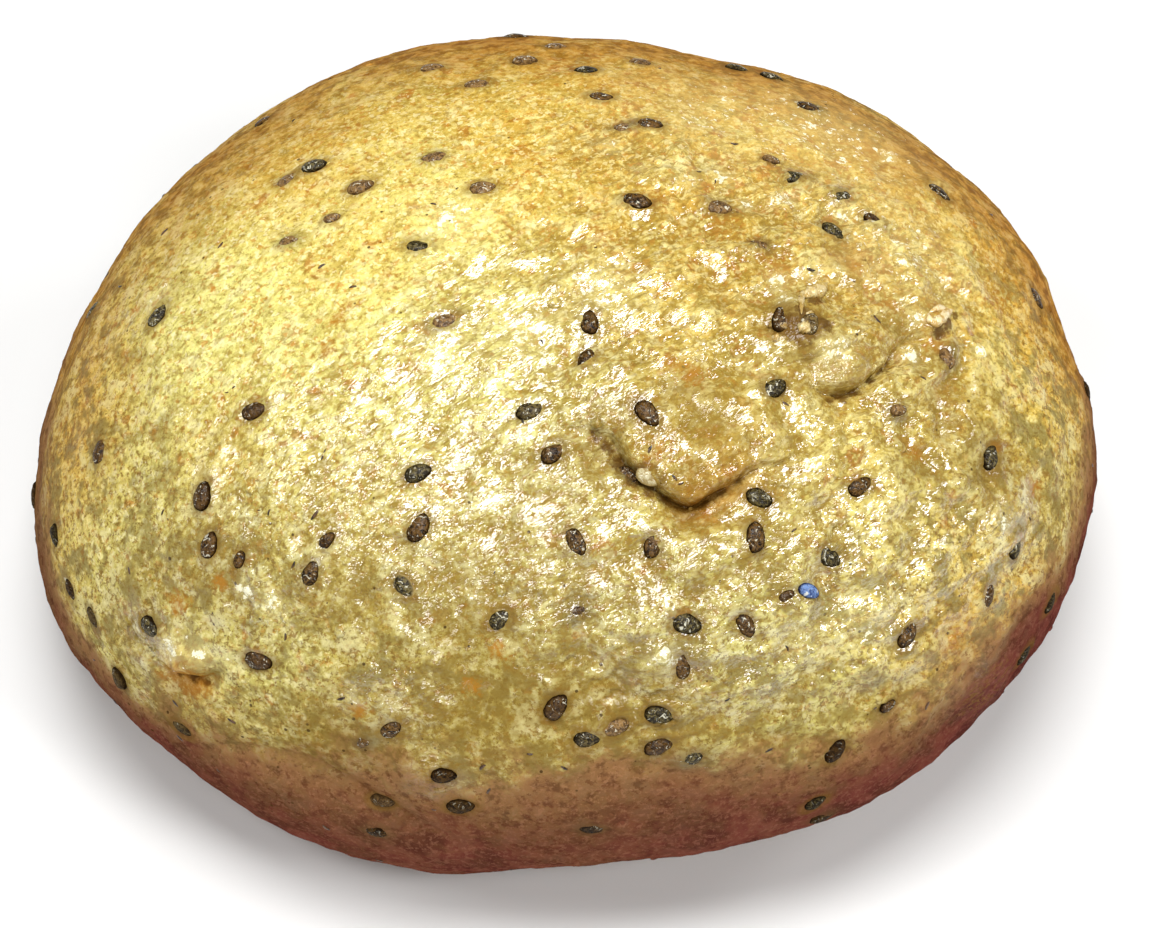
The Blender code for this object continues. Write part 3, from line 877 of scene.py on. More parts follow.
def store(mesh, name, values):
    """Keeps one number for each point of the mesh, for its material."""
    attribute = mesh.attributes.new(name, "FLOAT", "POINT")
    attribute.data.foreach_set("value", np.asarray(values, np.float32))


def store_patches(mesh, points):
    """Keeps how strongly each place lies in each kind of patch, and its height, for the crust's material."""
    for name, patches in PATCHES.items():
        store(mesh, name, patches_at(patches, points))
    store(mesh, "height", points[:, 2] / MM)


WRINKLE_WAY = math.radians(35)


def crumpled(points, spacing):
    """Height of a crumpled skin: facets of about the spacing, each tilted its own way."""
    heights = []
    for point in points / spacing:
        centre = noise.voronoi(Vector(point))[1][0]
        tilt = noise.noise_vector(centre * 3.1)
        heights.append((Vector(point) - centre).dot(tilt))
    return np.array(heights) * spacing


def relief_at(points):
    """How far the crust's fine relief stands out: dough lumps, and crumpled skin where it is greasy."""
    greasy = patches_at(GREASY, points)
    lumpy = patches_at(LUMPY, points)
    turned = points @ np.array((
        (math.cos(WRINKLE_WAY) / 2.4, -math.sin(WRINKLE_WAY), 0),
        (math.sin(WRINKLE_WAY) / 2.4, math.cos(WRINKLE_WAY), 0),
        (0, 0, 1),
    ))
    lumps = noise_at(points, 4.2 * MM, 7.3) * 0.5 * MM * (0.15 + lumpy)
    lumps += noise_at(points, 2.1 * MM, 3.9) * 0.42 * MM * (0.25 + lumpy)
    lumps += noise_at(points, 1.1 * MM, 9.1) * 0.2 * MM * (0.35 + lumpy)
    shaken = turned + np.column_stack([noise_at(points, 1.3 * MM, shift) for shift in (11.0, 23.0, 37.0)]) * 0.5 * MM
    folds = crumpled(shaken, 1.5 * MM) * 0.5 * (0.08 + 0.5 * greasy + 0.5 * lumpy)
    wrinkles = (np.abs(noise_at(turned, 1.5 * MM, 2.1)) - 0.2) * -0.18 * MM * (0.1 + greasy)
    grain = noise_at(points, 0.8 * MM, 4.7) * 0.06 * MM
    return lumps + folds + wrinkles + grain - SUNK


def surface(directions):
    """Places on the finished crust with its relief, the smooth body's places and normals, and the relief."""
    smooth = smooth_body(directions)
    places, normals = crust(directions)
    relief = relief_at(smooth)
    return places + normals * relief[:, None], smooth, normals, relief


def dense_sphere():
    """A unit sphere of quads, which crowd towards the photograph's side."""
    sphere = cube_sphere(CUBE_CELLS)
    ahead = Vector(-VIEW_FORWARD * DENSER_AHEAD)
    for vert in sphere.verts:
        vert.co = (vert.co + ahead).normalized()
    refine_near_folds(sphere)
    return sphere


def rings_round(seeds, points):
    """How many seed sizes each point lies from the nearest seed's middle, among open and among covered seeds."""
    rings = {False: np.full(len(points), 9.0), True: np.full(len(points), 9.0)}
    for seed in seeds:
        offset = points - seed.place
        along = offset @ seed.long_side / (CHIA_LENGTH / 2)
        across = offset @ np.cross(seed.normal, seed.long_side) / (CHIA_WIDTH / 2)
        away = offset @ seed.normal / MM
        ring = np.sqrt(along ** 2 + across ** 2 + away ** 2) / seed.size
        rings[seed.covered] = np.minimum(rings[seed.covered], ring)
    return rings[False], rings[True]


def make_crust(seeds, material):
    body = dense_sphere()
    directions = np.array([vert.co for vert in body.verts])
    places, smooth, normals, relief = surface(directions)
    open_ring, covered_ring = rings_round(seeds, places)
    collar = 0.12 * MM * np.exp(-((open_ring - 1.3) / 0.3) ** 2)
    veil = np.exp(-(covered_ring / 1.2) ** 2)
    places = places + normals * (collar + VEIL_RISE * veil)[:, None]
    places = within_box(places)
    for vert, place in zip(body.verts, places):
        vert.co = place
    roll = finish_mesh("crust", body, material)
    hollow = ((places - smooth) * normals).sum(axis=1) / MM
    store_patches(roll.data, smooth)
    # The relief, which the crust's colour turns into painted light on lumps and painted shade in dips
    store(roll.data, "relief", relief / MM)
    # Depth below the smooth body, for painted shade in the creases
    store(roll.data, "hollow", np.clip(-hollow - 0.5, 0, 3))
    # Painted contact shade: a soft dark ring round each open seed
    store(roll.data, "contact_shade", np.exp(-((open_ring - 1.1) / 0.4) ** 2))
    store(roll.data, "veil", veil)
    return roll


def sphere_template(segments, rings):
    """Points and faces of a round shape of diameter 1, to be shaped and copied."""
    body = bmesh.new()
    bmesh.ops.create_uvsphere(body, u_segments=segments, v_segments=rings, radius=0.5)
    body.verts.index_update()
    points = np.array([vert.co for vert in body.verts])
    faces = [[vert.index for vert in face.verts] for face in body.faces]
    body.free()
    return points, faces


def joined(name, shapes, faces, material):
    """One piece made of many copies of a template, each with its own points."""
    count = len(shapes[0])
    moved = [[corner + number * count for corner in face] for number in range(len(shapes)) for face in faces]
    mesh = bpy.data.meshes.new(name)
    mesh.from_pydata(within_box(np.vstack(shapes)).tolist(), [], moved)
    mesh.materials.append(material)
    mesh.shade_smooth()
    made = bpy.data.objects.new(name, mesh)
    bpy.context.scene.collection.objects.link(made)
    return made


def seed_shape(template, number, seed):
    """One chia seed's points: an egg shape, flatter from above, with an uneven coat."""
    narrow = 1 - 0.3 * template[:, 0]
    shaped = template * (CHIA_LENGTH, CHIA_WIDTH, CHIA_THICKNESS) * seed.size
    shaped[:, 1:] *= narrow[:, None]
    shaped *= (1 + 0.1 * noise_at(shaped, 0.5 * MM, number) + 0.05 * noise_at(shaped, 0.2 * MM, number))[:, None]
    centre = seed.place + seed.normal * (seed.proud - seed.size * CHIA_THICKNESS / 2)
    return centre + shaped @ np.array((seed.long_side, np.cross(seed.normal, seed.long_side), seed.normal))


def seed_turns(normals, angles):
    """The long side of each seed, turned in the photograph's plane and laid flat on the crust."""
    drawn = np.cos(angles)[:, None] * VIEW_RIGHT + np.sin(angles)[:, None] * VIEW_UP
    return lined_up(drawn - (drawn * normals).sum(axis=1)[:, None] * normals)


@dataclass
class Seed:
    place: np.ndarray
    normal: np.ndarray
    long_side: np.ndarray
    pixel: tuple
    size: float
    proud: float
    covered: bool


VEIL_RISE = 0.28 * MM


def plan_seeds():
    """Where every chia seed lies, how large it is and how far it stands out."""
    draw = random.Random(SPREAD_SEED)
    hidden = hidden_directions()
    shown = SEEDS_IN_PHOTO + COVERED_SEEDS
    directions = np.vstack((aim_at([seed[:2] for seed in shown]), hidden))
    turns = [seed[2] for seed in shown] + [draw.uniform(0, 180) for _ in hidden]
    places, _, normals, _ = surface(directions)
    long_sides = seed_turns(normals, np.radians(turns))
    seeds = []
    for number, (place, normal, long_side) in enumerate(zip(places, normals, long_sides)):
        pixel = shown[number][:2] if number < len(shown) else None
        covered = len(SEEDS_IN_PHOTO) <= number < len(shown)
        size = 0.62 if pixel in SMALL_SEEDS else 0.75 if pixel in BLUE_SEEDS else draw.uniform(0.86, 1.02)
        proud = VEIL_RISE + 0.04 * MM if covered else draw.uniform(0.2, 0.48) * MM
        proud = 0.5 * MM if pixel in BLUE_SEEDS else proud
        seeds.append(Seed(place, normal, long_side, pixel, size, proud, covered))
    return seeds


# Seeds on walls steeper than this shine less and are painted darker, as shade
LOW_SHINE = 0.35


def make_seeds(name, seeds, material):
    template, faces = sphere_template(20, 14)
    shapes = []
    tones = []
    for number, seed in enumerate(seeds):
        shapes.append(seed_shape(template, number, seed))
        tone = random.Random(number).random()
        tone = 2.0 if seed.pixel in BLUE_SEEDS else 3.0 if seed.pixel in GHOST_SEEDS else tone
        tone = 4.0 if seed.pixel in VEILED_SEEDS else tone
        tones += [tone] * len(template)
    made = joined(name, shapes, faces, material)
    store(made.data, "tone", tones)
    store(made.data, "top", list(template[:, 2]) * len(seeds))
    shines = [1.0 if seed.normal[2] > LOW_SHINE else 0.3 for seed in seeds]
    store(made.data, "shine", np.repeat(shines, len(template)))
    return made


@dataclass
class Husk:
    """A dark sliver of bran or seed coat lying on the crust."""

    x: float
    y: float
    length: float
    turn: float


HUSKS = (
    Husk(323, 454, 0.9 * MM, 70), Husk(314, 515, 0.9 * MM, 50), Husk(161, 512, 0.5 * MM, 60),
    Husk(292, 565, 0.6 * MM, 60), Husk(230, 722, 0.8 * MM, -20), Husk(284, 638, 0.6 * MM, 80),
    Husk(482, 768, 0.8 * MM, 50), Husk(564, 768, 0.6 * MM, -40), Husk(808, 271, 1.0 * MM, -20),
    Husk(542, 340, 0.4 * MM, -60), Husk(927, 707, 0.9 * MM, 85), Husk(878, 318, 0.8 * MM, -55),
    Husk(787, 402, 0.6 * MM, -30), Husk(754, 244, 0.8 * MM, -25), Husk(692, 482, 0.5 * MM, 20),
    Husk(673, 480, 0.6 * MM, -50), Husk(795, 530, 0.5 * MM, 35), Husk(650, 448, 0.7 * MM, 60),
    Husk(923, 378, 0.5 * MM, -20), Husk(340, 700, 0.7 * MM, 20), Husk(488, 793, 0.7 * MM, 70),
    Husk(728, 700, 0.5 * MM, 35), Husk(790, 650, 0.5 * MM, -60), Husk(166, 520, 0.4 * MM, -40),
    Husk(410, 588, 0.8 * MM, 55), Husk(174, 705, 0.7 * MM, -45), Husk(128, 571, 0.6 * MM, -70),
    Husk(530, 755, 0.5 * MM, 0), Husk(850, 565, 0.5 * MM, 30), Husk(330, 545, 0.8 * MM, 30),
    Husk(268, 512, 0.5 * MM, 70), Husk(258, 510, 0.3 * MM, 0), Husk(232, 386, 0.4 * MM, 30),
    Husk(226, 392, 0.3 * MM, 0), Husk(433, 202, 0.5 * MM, -20), Husk(352, 285, 0.6 * MM, 5),
)
LOOSE_HUSKS = 70


@dataclass
class Blister:
    """A small round bubble of crust."""

    x: float
    y: float
    size: float


BLISTERS = (
    Blister(906, 258, 1.5 * MM), Blister(926, 268, 0.9 * MM), Blister(621, 826, 0.9 * MM),
    Blister(979, 352, 1.1 * MM), Blister(955, 640, 0.9 * MM), Blister(797, 683, 0.8 * MM),
    Blister(815, 690, 0.9 * MM), Blister(974, 640, 0.6 * MM),
    Blister(340, 630, 0.9 * MM), Blister(829, 476, 0.9 * MM),
    Blister(972, 705, 0.6 * MM), Blister(962, 715, 0.5 * MM), Blister(950, 722, 0.6 * MM),
    Blister(938, 731, 0.5 * MM), Blister(925, 739, 0.6 * MM), Blister(992, 690, 0.5 * MM),
    Blister(900, 445, 1.0 * MM), Blister(880, 405, 0.8 * MM), Blister(247, 590, 0.7 * MM),
    Blister(275, 605, 0.9 * MM), Blister(284, 618, 0.6 * MM), Blister(388, 180, 0.9 * MM),
    Blister(436, 174, 0.8 * MM), Blister(540, 178, 1.0 * MM), Blister(660, 160, 0.8 * MM),
    Blister(778, 164, 0.7 * MM), Blister(430, 250, 0.7 * MM), Blister(700, 240, 0.9 * MM),
    Blister(663, 656, 1.2 * MM), Blister(500, 590, 0.8 * MM), Blister(425, 540, 0.9 * MM),
    Blister(197, 435, 0.6 * MM), Blister(211, 443, 0.5 * MM), Blister(250, 490, 0.5 * MM),
    Blister(100, 340, 0.8 * MM), Blister(125, 434, 0.7 * MM), Blister(165, 290, 0.8 * MM),
    Blister(555, 300, 1.0 * MM), Blister(615, 330, 1.0 * MM), Blister(590, 350, 1.0 * MM),
)
LOOSE_BLISTERS = 220

# Crusty curls: how much of their own colour they have, then photograph pixels along the ridge, with the width there
CURLS = (
    (0.5, (803, 298, 0.5 * MM), (809, 294, 1.0 * MM), (817, 292, 1.1 * MM), (823, 287, 0.8 * MM), (828, 282, 0.3 * MM)),
    (0.5, (800, 316, 0.2 * MM), (801, 307, 0.4 * MM), (801, 298, 0.5 * MM), (806, 291, 0.5 * MM), (812, 287, 0.3 * MM)),
    (0.9, (930, 312, 0.4 * MM), (933, 318, 0.7 * MM), (939, 320, 0.8 * MM), (947, 313, 0.6 * MM), (952, 310, 0.3 * MM)),
    (0.9, (931, 311, 0.3 * MM), (937, 308, 0.5 * MM), (944, 309, 0.4 * MM), (950, 309, 0.2 * MM)),
    (0.4, (797, 325, 0.6 * MM), (801, 328, 1.0 * MM), (806, 331, 0.8 * MM), (810, 332, 0.4 * MM)),
    (0.4, (779, 319, 0.3 * MM), (782, 325, 0.6 * MM), (787, 328, 0.3 * MM)),
    (0.6, (772, 336, 0.4 * MM), (776, 338, 0.7 * MM), (780, 338, 0.3 * MM)),
    (0.2, (771, 319, 0.3 * MM), (773, 323, 0.6 * MM), (776, 326, 0.3 * MM)),
    (0.6, (806, 316, 0.3 * MM), (811, 312, 0.4 * MM), (815, 315, 0.3 * MM)),
    (0.0, (1000, 500, 0.5 * MM), (996, 515, 0.9 * MM), (990, 530, 0.8 * MM), (985, 540, 0.3 * MM)),
    (0.0, (590, 421, 0.6 * MM), (597, 424, 0.9 * MM), (604, 422, 0.5 * MM)),
)


def loose_directions(count, seed):
    """Directions spread by chance over the whole crust, bar the base."""
    draw = random.Random(seed)
    chosen = []
    while len(chosen) < count:
        tried = lined_up(np.array([[draw.gauss(0, 1) for _ in range(3)]]))
        if smooth_body(tried)[0, 2] > HIDDEN_LOWEST:
            chosen.append(tried[0])
    return np.array(chosen)


def make_husks(material):
    """Thin dark slivers, bent a little and half sunk."""
    draw = random.Random(31)
    directions = np.vstack((aim_at([(husk.x, husk.y) for husk in HUSKS]), loose_directions(LOOSE_HUSKS, 32)))
    lengths = [husk.length for husk in HUSKS] + [draw.uniform(0.25, 0.8) * MM for _ in range(LOOSE_HUSKS)]
    turns = [husk.turn for husk in HUSKS] + [draw.uniform(0, 180) for _ in range(LOOSE_HUSKS)]
    places, _, normals, _ = surface(directions)
    long_sides = seed_turns(normals, np.radians(turns))
    template, faces = sphere_template(8, 8)
    shapes = []
    for place, normal, long_side, length in zip(places, normals, long_sides, lengths):
        shaped = template * (length, min(0.3 * length, 0.24 * MM), 0.14 * MM)
        shaped[:, 1] += draw.uniform(-0.5, 0.5) * length * (2 * template[:, 0]) ** 2 * 0.3
        shapes.append(place + shaped @ np.array((long_side, np.cross(normal, long_side), normal)))
    return joined("husks", shapes, faces, material)


def make_blisters(material):
    """Small bubbles in the crust, a little flattened and uneven."""
    draw = random.Random(41)
    aims = aim_at([(blister.x, blister.y) for blister in BLISTERS])
    directions = np.vstack((aims, loose_directions(LOOSE_BLISTERS, 42)))
    sizes = [blister.size for blister in BLISTERS] + [draw.uniform(0.2, 0.55) * MM for _ in range(LOOSE_BLISTERS)]
    places, smooth, normals, _ = surface(directions)
    long_sides = seed_turns(normals, np.array([draw.uniform(0, math.pi) for _ in sizes]))
    template, faces = sphere_template(12, 8)
    shapes = []
    for number, (place, normal, long_side, size) in enumerate(zip(places, normals, long_sides, sizes)):
        shaped = template * (size * draw.uniform(1.0, 1.4), size, 0.5 * size)
        shaped *= (1 + 0.4 * noise_at(shaped, 0.6 * size, number))[:, None]
        frame_rows = np.array((long_side, np.cross(normal, long_side), normal))
        shapes.append(place - normal * 0.1 * size + shaped @ frame_rows)
    made = joined("blisters", shapes, faces, material)
    store_patches(made.data, np.repeat(smooth, len(template), axis=0))
    # Blister tops stand high in the relief, so the crust's colour paints them paler, as lit
    store(made.data, "relief", np.tile(0.15 * template[:, 2], len(shapes)))
    return made


def make_curls(material):
    """Curled edges of crust: ridges of changing width along a path, with a rounded, uneven section."""
    template_turns = np.linspace(0, 2 * math.pi, 10, endpoint=False)
    points = []
    below = []
    faces = []
    colours = []
    for number, curl in enumerate(CURLS):
        table = np.array(curl[1:])
        places, _, normals, _ = surface(aim_at(table[:, :2]))
        path = smooth_path(np.column_stack((places, normals, table[:, 2])), steps=5)
        ways = lined_up(np.gradient(path[:, :3], axis=0))
        first = len(points)
        colours += [curl[0]] * len(path) * len(template_turns)
        for step, (row, way) in enumerate(zip(path, ways)):
            normal = row[3:6]
            side = lined_up(np.cross(normal, way))
            fade = math.sin(math.pi * (step + 0.5) / len(path)) ** 0.5
            for turn in template_turns:
                uneven = 1 + 0.5 * noise.noise(Vector((step * 0.7, 2 * math.cos(turn), 2 * math.sin(turn) + number)))
                uneven += 0.4 * noise.noise(Vector((step * 1.5, 4 * math.cos(turn), 4 * math.sin(turn) + number)))
                across = side * math.cos(turn) * row[6] / 2
                up = normal * math.sin(turn) * row[6] * 0.4
                points.append(row[:3] + (across + up) * fade * uneven + normal * row[6] * 0.15)
                below.append(row[:3])
        count = len(template_turns)
        for step in range(len(path) - 1):
            for corner in range(count):
                base = first + step * count
                beside = (corner + 1) % count
                faces.append([base + corner, base + beside, base + count + beside, base + count + corner])
        faces.append([first + corner for corner in reversed(range(count))])
        faces.append([first + (len(path) - 1) * count + corner for corner in range(count)])
    mesh = bpy.data.meshes.new("curls")
    mesh.from_pydata(within_box(np.array(points)).tolist(), [], faces)
    mesh.materials.append(material)
    mesh.shade_smooth()
    store_patches(mesh, np.array(below))
    store(mesh, "curl", colours)
    made = bpy.data.objects.new("curls", mesh)
    bpy.context.scene.collection.objects.link(made)
    return made


class Nodes:
    """Short calls that build one material's node tree."""

    def __init__(self, name):
        self.material = bpy.data.materials.new(name)
        self.material.use_nodes = True
        self.tree = self.material.node_tree
        self.shader = self.tree.nodes["Principled BSDF"]
        self.place = None

    def add(self, kind, inputs=(), **settings):
        node = self.tree.nodes.new(kind)
        for name, value in settings.items():
            setattr(node, name, value)
        for name, value in dict(inputs).items():
            self.set(node.inputs[name], value)
        return node

    def set(self, socket, value):
        if hasattr(value, "is_output"):
            self.tree.links.new(value, socket)
        else:
            socket.default_value = value

    def put(self, name, value):
        self.set(self.shader.inputs[name], value)

    def places(self, stretch=(1, 1, 1), turn=0.0):
        """Places on the object in millimetres, stretched along a way turned about Z."""
        where = self.add("ShaderNodeTexCoord").outputs["Object"]
        inputs = {"Vector": where, "Scale": tuple(MM * part for part in stretch), "Rotation": (0, 0, turn)}
        return self.add("ShaderNodeMapping", inputs, vector_type="TEXTURE").outputs["Vector"]

    def shaken(self, where, spacing, amount):
        """Places pushed about by a noise, for irregular cells."""
        push = self.add("ShaderNodeTexNoise", {"Vector": where, "Scale": 1 / spacing, "Detail": 0.0}).outputs["Color"]
        scaled = self.add("ShaderNodeVectorMath", operation="MULTIPLY_ADD")
        self.set(scaled.inputs[0], push)
        scaled.inputs[1].default_value = (amount,) * 3
        self.set(scaled.inputs[2], where)
        return scaled.outputs[0]

    def facets(self, spacing, where):
        """Height of a crumpled skin: small facets, each tilted its own way."""
        cell = self.add("ShaderNodeTexVoronoi", {"Vector": where, "Scale": 1 / spacing})
        offset = self.add("ShaderNodeVectorMath", operation="SUBTRACT")
        self.set(offset.inputs[0], where)
        self.set(offset.inputs[1], cell.outputs["Position"])
        tilt = self.add("ShaderNodeVectorMath", operation="SUBTRACT")
        self.set(tilt.inputs[0], cell.outputs["Color"])
        tilt.inputs[1].default_value = (0.5, 0.5, 0.5)
        height = self.add("ShaderNodeVectorMath", operation="DOT_PRODUCT")
        self.set(height.inputs[0], offset.outputs[0])
        self.set(height.inputs[1], tilt.outputs[0])
        return height.outputs["Value"]

    def value(self, name):
        return self.add("ShaderNodeAttribute", attribute_name=name).outputs["Fac"]

    def noise(self, spacing, detail=2.0, rough=0.5, where=None, twist=0.0):
        inputs = {"Vector": where or self.places(), "Scale": 1 / spacing, "Detail": detail, "Roughness": rough,
                  "Distortion": twist}
        return self.add("ShaderNodeTexNoise", inputs).outputs["Fac"]

    def cells(self, spacing, where=None):
        """Distance from the nearest of many scattered points, in spacings, and that point's random number."""
        cell = self.add("ShaderNodeTexVoronoi", {"Vector": where or self.places(), "Scale": 1 / spacing})
        pick = self.add("ShaderNodeSeparateColor", {"Color": cell.outputs["Color"]}).outputs[0]
        return cell.outputs["Distance"], pick

    def span(self, value, low, high, start=0.0, end=1.0):
        inputs = {"Value": value, "From Min": low, "From Max": high, "To Min": start, "To Max": end}
        return self.add("ShaderNodeMapRange", inputs, interpolation_type="SMOOTHSTEP").outputs["Result"]

    def maths(self, operation, first, second=0.0):
        node = self.add("ShaderNodeMath", operation=operation)
        self.set(node.inputs[0], first)
        self.set(node.inputs[1], second)
        return node.outputs[0]

    def mix(self, share, first, second, blend="MIX"):
        node = self.add("ShaderNodeMix", data_type="RGBA", blend_type=blend)
        self.set(node.inputs["Factor"], share)
        self.set(node.inputs[6], first)
        self.set(node.inputs[7], second)
        return node.outputs[2]

    def bump(self, height, distance, strength=1.0, normal=None):
        inputs = {"Height": height, "Distance": distance, "Strength": strength}
        if normal:
            inputs["Normal"] = normal
        return self.add("ShaderNodeBump", inputs).outputs["Normal"]


def rgb(red, green, blue):
    """A colour given in the usual 0 to 255 steps, as the linear colour that shaders take."""
    def linear(step):
        part = step / 255
        return part / 12.92 if part <= 0.04045 else ((part + 0.055) / 1.055) ** 2.4
    return (linear(red), linear(green), linear(blue), 1.0)


def crust_material():
    nodes = Nodes("crust")
    wrinkled = nodes.places(stretch=(2.4, 1.0, 1.0), turn=WRINKLE_WAY)
    greasy = nodes.value("greasy")
    broad = nodes.noise(9.0, 2.0, 0.55)
    patchy = nodes.noise(3.0, 3.0, 0.6)
    mottled = nodes.noise(1.1, 3.0, 0.65)
    fine = nodes.noise(0.4, 3.0, 0.75)
    skin = nodes.noise(0.8, 3.0, 0.66, where=wrinkled, twist=0.6)
    colour = nodes.mix(nodes.span(broad, 0.4, 0.62), rgb(230, 214, 116), rgb(216, 190, 90))
    # Paler yellow crust, on the low front and the low fold's ridge painted light
    colour = nodes.mix(nodes.value("pale"), colour, rgb(238, 234, 138))
    golden = nodes.maths("MULTIPLY", nodes.value("golden"), nodes.span(patchy, 0.3, 0.6, 0.5, 1.0))
    colour = nodes.mix(golden, colour, rgb(214, 172, 78))
    olive = nodes.maths("MULTIPLY", nodes.value("olive"), nodes.span(patchy, 0.35, 0.6, 0.5, 1.0))
    colour = nodes.mix(olive, colour, rgb(174, 160, 86))
    # Painted shade in the dips of the relief and painted light on its lumps
    raised = nodes.maths("ADD", nodes.value("relief"), nodes.span(mottled, 0.3, 0.7, -0.15, 0.15))
    colour = nodes.mix(nodes.span(raised, -0.12, -0.4, 0.0, 0.75), colour, rgb(150, 122, 42))
    colour = nodes.mix(nodes.span(raised, -0.04, 0.16, 0.0, 0.55), colour, rgb(240, 230, 150))
    # Streaks along the wrinkled skin, most where greasy: painted shade in its creases and painted sheen on its ridges
    streaky = nodes.maths("ADD", nodes.maths("MULTIPLY", greasy, 0.9), 0.1)
    colour = nodes.mix(nodes.maths("MULTIPLY", streaky, nodes.span(skin, 0.5, 0.36, 0.0, 0.7)), colour, rgb(168, 136, 50))
    colour = nodes.mix(nodes.maths("MULTIPLY", streaky, nodes.span(skin, 0.52, 0.66, 0.0, 0.7)), colour, rgb(250, 246, 196))
    spotty = nodes.span(nodes.value("grainy"), 0.0, 1.0, 0.7, 0.4)
    colour = nodes.mix(nodes.maths("MULTIPLY", nodes.span(mottled, 0.52, 0.66), spotty), colour, rgb(182, 152, 60))
    colour = nodes.mix(nodes.span(mottled, 0.47, 0.34, 0.0, 0.5), colour, rgb(244, 230, 150))
    cloudy = nodes.noise(2.2, 3.0, 0.7)
    cloud = nodes.maths("MULTIPLY", nodes.span(cloudy, 0.47, 0.62, 0.0, 0.7), nodes.span(nodes.value("grainy"), 1.0, 0.2, 0.3))
    colour = nodes.mix(cloud, colour, rgb(164, 140, 54))
    colour = nodes.mix(nodes.span(cloudy, 0.46, 0.36, 0.0, 0.4), colour, rgb(232, 222, 160))
    blotch = nodes.span(nodes.noise(1.6, 2.0, 0.7), 0.58, 0.66, 0.0, 0.7)
    blotch = nodes.maths("MULTIPLY", blotch, nodes.maths("MAXIMUM", nodes.span(patchy, 0.42, 0.6), nodes.value("golden")))
    colour = nodes.mix(blotch, colour, rgb(176, 106, 36))
    colour = nodes.mix(nodes.span(fine, 0.53, 0.62, 0.0, 0.6), colour, rgb(140, 112, 42))
    colour = nodes.mix(nodes.span(fine, 0.46, 0.38, 0.0, 0.55), colour, rgb(248, 240, 164))
    crumple = nodes.facets(0.42, nodes.shaken(wrinkled, 0.6, 0.6))
    # Painted shade in the dips of the crumpled skin, stronger where it is greasy
    crumple_shade = nodes.maths("MULTIPLY", nodes.span(crumple, -0.02, -0.1, 0.0, 0.8), nodes.span(greasy, 0.0, 0.8, 0.3, 0.8))
    colour = nodes.mix(crumple_shade, colour, rgb(148, 118, 42))
    flake, chosen = nodes.cells(0.45, nodes.shaken(nodes.places(), 0.3, 0.7))
    flaky = nodes.maths("MULTIPLY", nodes.span(flake, 0.6, 0.36), nodes.span(nodes.value("grainy"), 0.0, 1.0, 0.45, 0.85))
    pale_flake = nodes.maths("MULTIPLY", flaky, nodes.span(chosen, 0.55, 0.9, 0.0, 0.7))
    colour = nodes.mix(pale_flake, colour, rgb(252, 244, 190))
    brown_flake = nodes.maths("MULTIPLY", flaky, nodes.span(chosen, 0.3, 0.05, 0.0, 0.7))
    colour = nodes.mix(brown_flake, colour, rgb(194, 128, 44))
    colour = nodes.mix(golden, colour, rgb(252, 240, 206), "MULTIPLY")
    lowish = nodes.span(nodes.value("height"), 36.0, 27.0)
    colour = nodes.mix(nodes.maths("MULTIPLY", lowish, nodes.span(cloudy, 0.46, 0.62, 0.0, 0.8)), colour, rgb(138, 126, 72))
    colour = nodes.mix(nodes.maths("MULTIPLY", lowish, nodes.span(cloudy, 0.46, 0.36, 0.0, 0.5)), colour, rgb(220, 210, 148))
    crumbly = nodes.noise(0.7, 3.0, 0.75)
    bran = nodes.span(crumbly, 0.42, 0.36, 0.0, 0.75)
    colour = nodes.mix(nodes.maths("MULTIPLY", lowish, bran), colour, rgb(138, 98, 38))
    colour = nodes.mix(nodes.maths("MULTIPLY", lowish, nodes.span(fine, 0.54, 0.62, 0.0, 0.6)), colour, rgb(104, 80, 34))
    # Darker olive brown, mostly painted shade in dips and on the low front
    dim = nodes.maths("MULTIPLY", nodes.value("dim"), nodes.span(mottled, 0.35, 0.6, 0.6, 0.95))
    colour = nodes.mix(dim, colour, rgb(128, 102, 42))
    # Browned crust, which along the rim and under the low fold is also painted shade
    browned_and_shade = nodes.maths("MULTIPLY", nodes.value("browned_and_shade"), nodes.span(patchy, 0.3, 0.6, 0.7, 1.0))
    toasted = nodes.mix(nodes.span(mottled, 0.4, 0.62), rgb(182, 126, 50), rgb(132, 80, 24))
    colour = nodes.mix(browned_and_shade, colour, toasted)
    ragged = nodes.span(nodes.maths("ADD", mottled, fine), 0.7, 1.3, -0.35, 0.35)
    # Orange-brown spots, in places painted shade under the folds
    orange = nodes.span(nodes.maths("ADD", nodes.value("orange"), ragged), 0.2, 0.9, 0.0, 0.7)
    colour = nodes.mix(orange, colour, rgb(172, 112, 30))
    # Painted highlights: a pale wash in the highlight patches, then crisp white specks, most of them there
    colour = nodes.mix(nodes.maths("MULTIPLY", nodes.value("white_highlight"), 0.35), colour, rgb(244, 234, 164))
    glint_fleck = nodes.span(nodes.maths("ADD", nodes.maths("MULTIPLY", nodes.value("white_highlight"), 0.3), crumbly), 0.72, 0.78, 0.0, 0.85)
    colour = nodes.mix(glint_fleck, colour, rgb(255, 251, 218))
    shade = nodes.span(nodes.maths("ADD", nodes.value("shade"), nodes.maths("MULTIPLY", ragged, 0.6)), 0.2, 0.7, 0.0, 0.85)
    colour = nodes.mix(shade, colour, rgb(84, 54, 22))
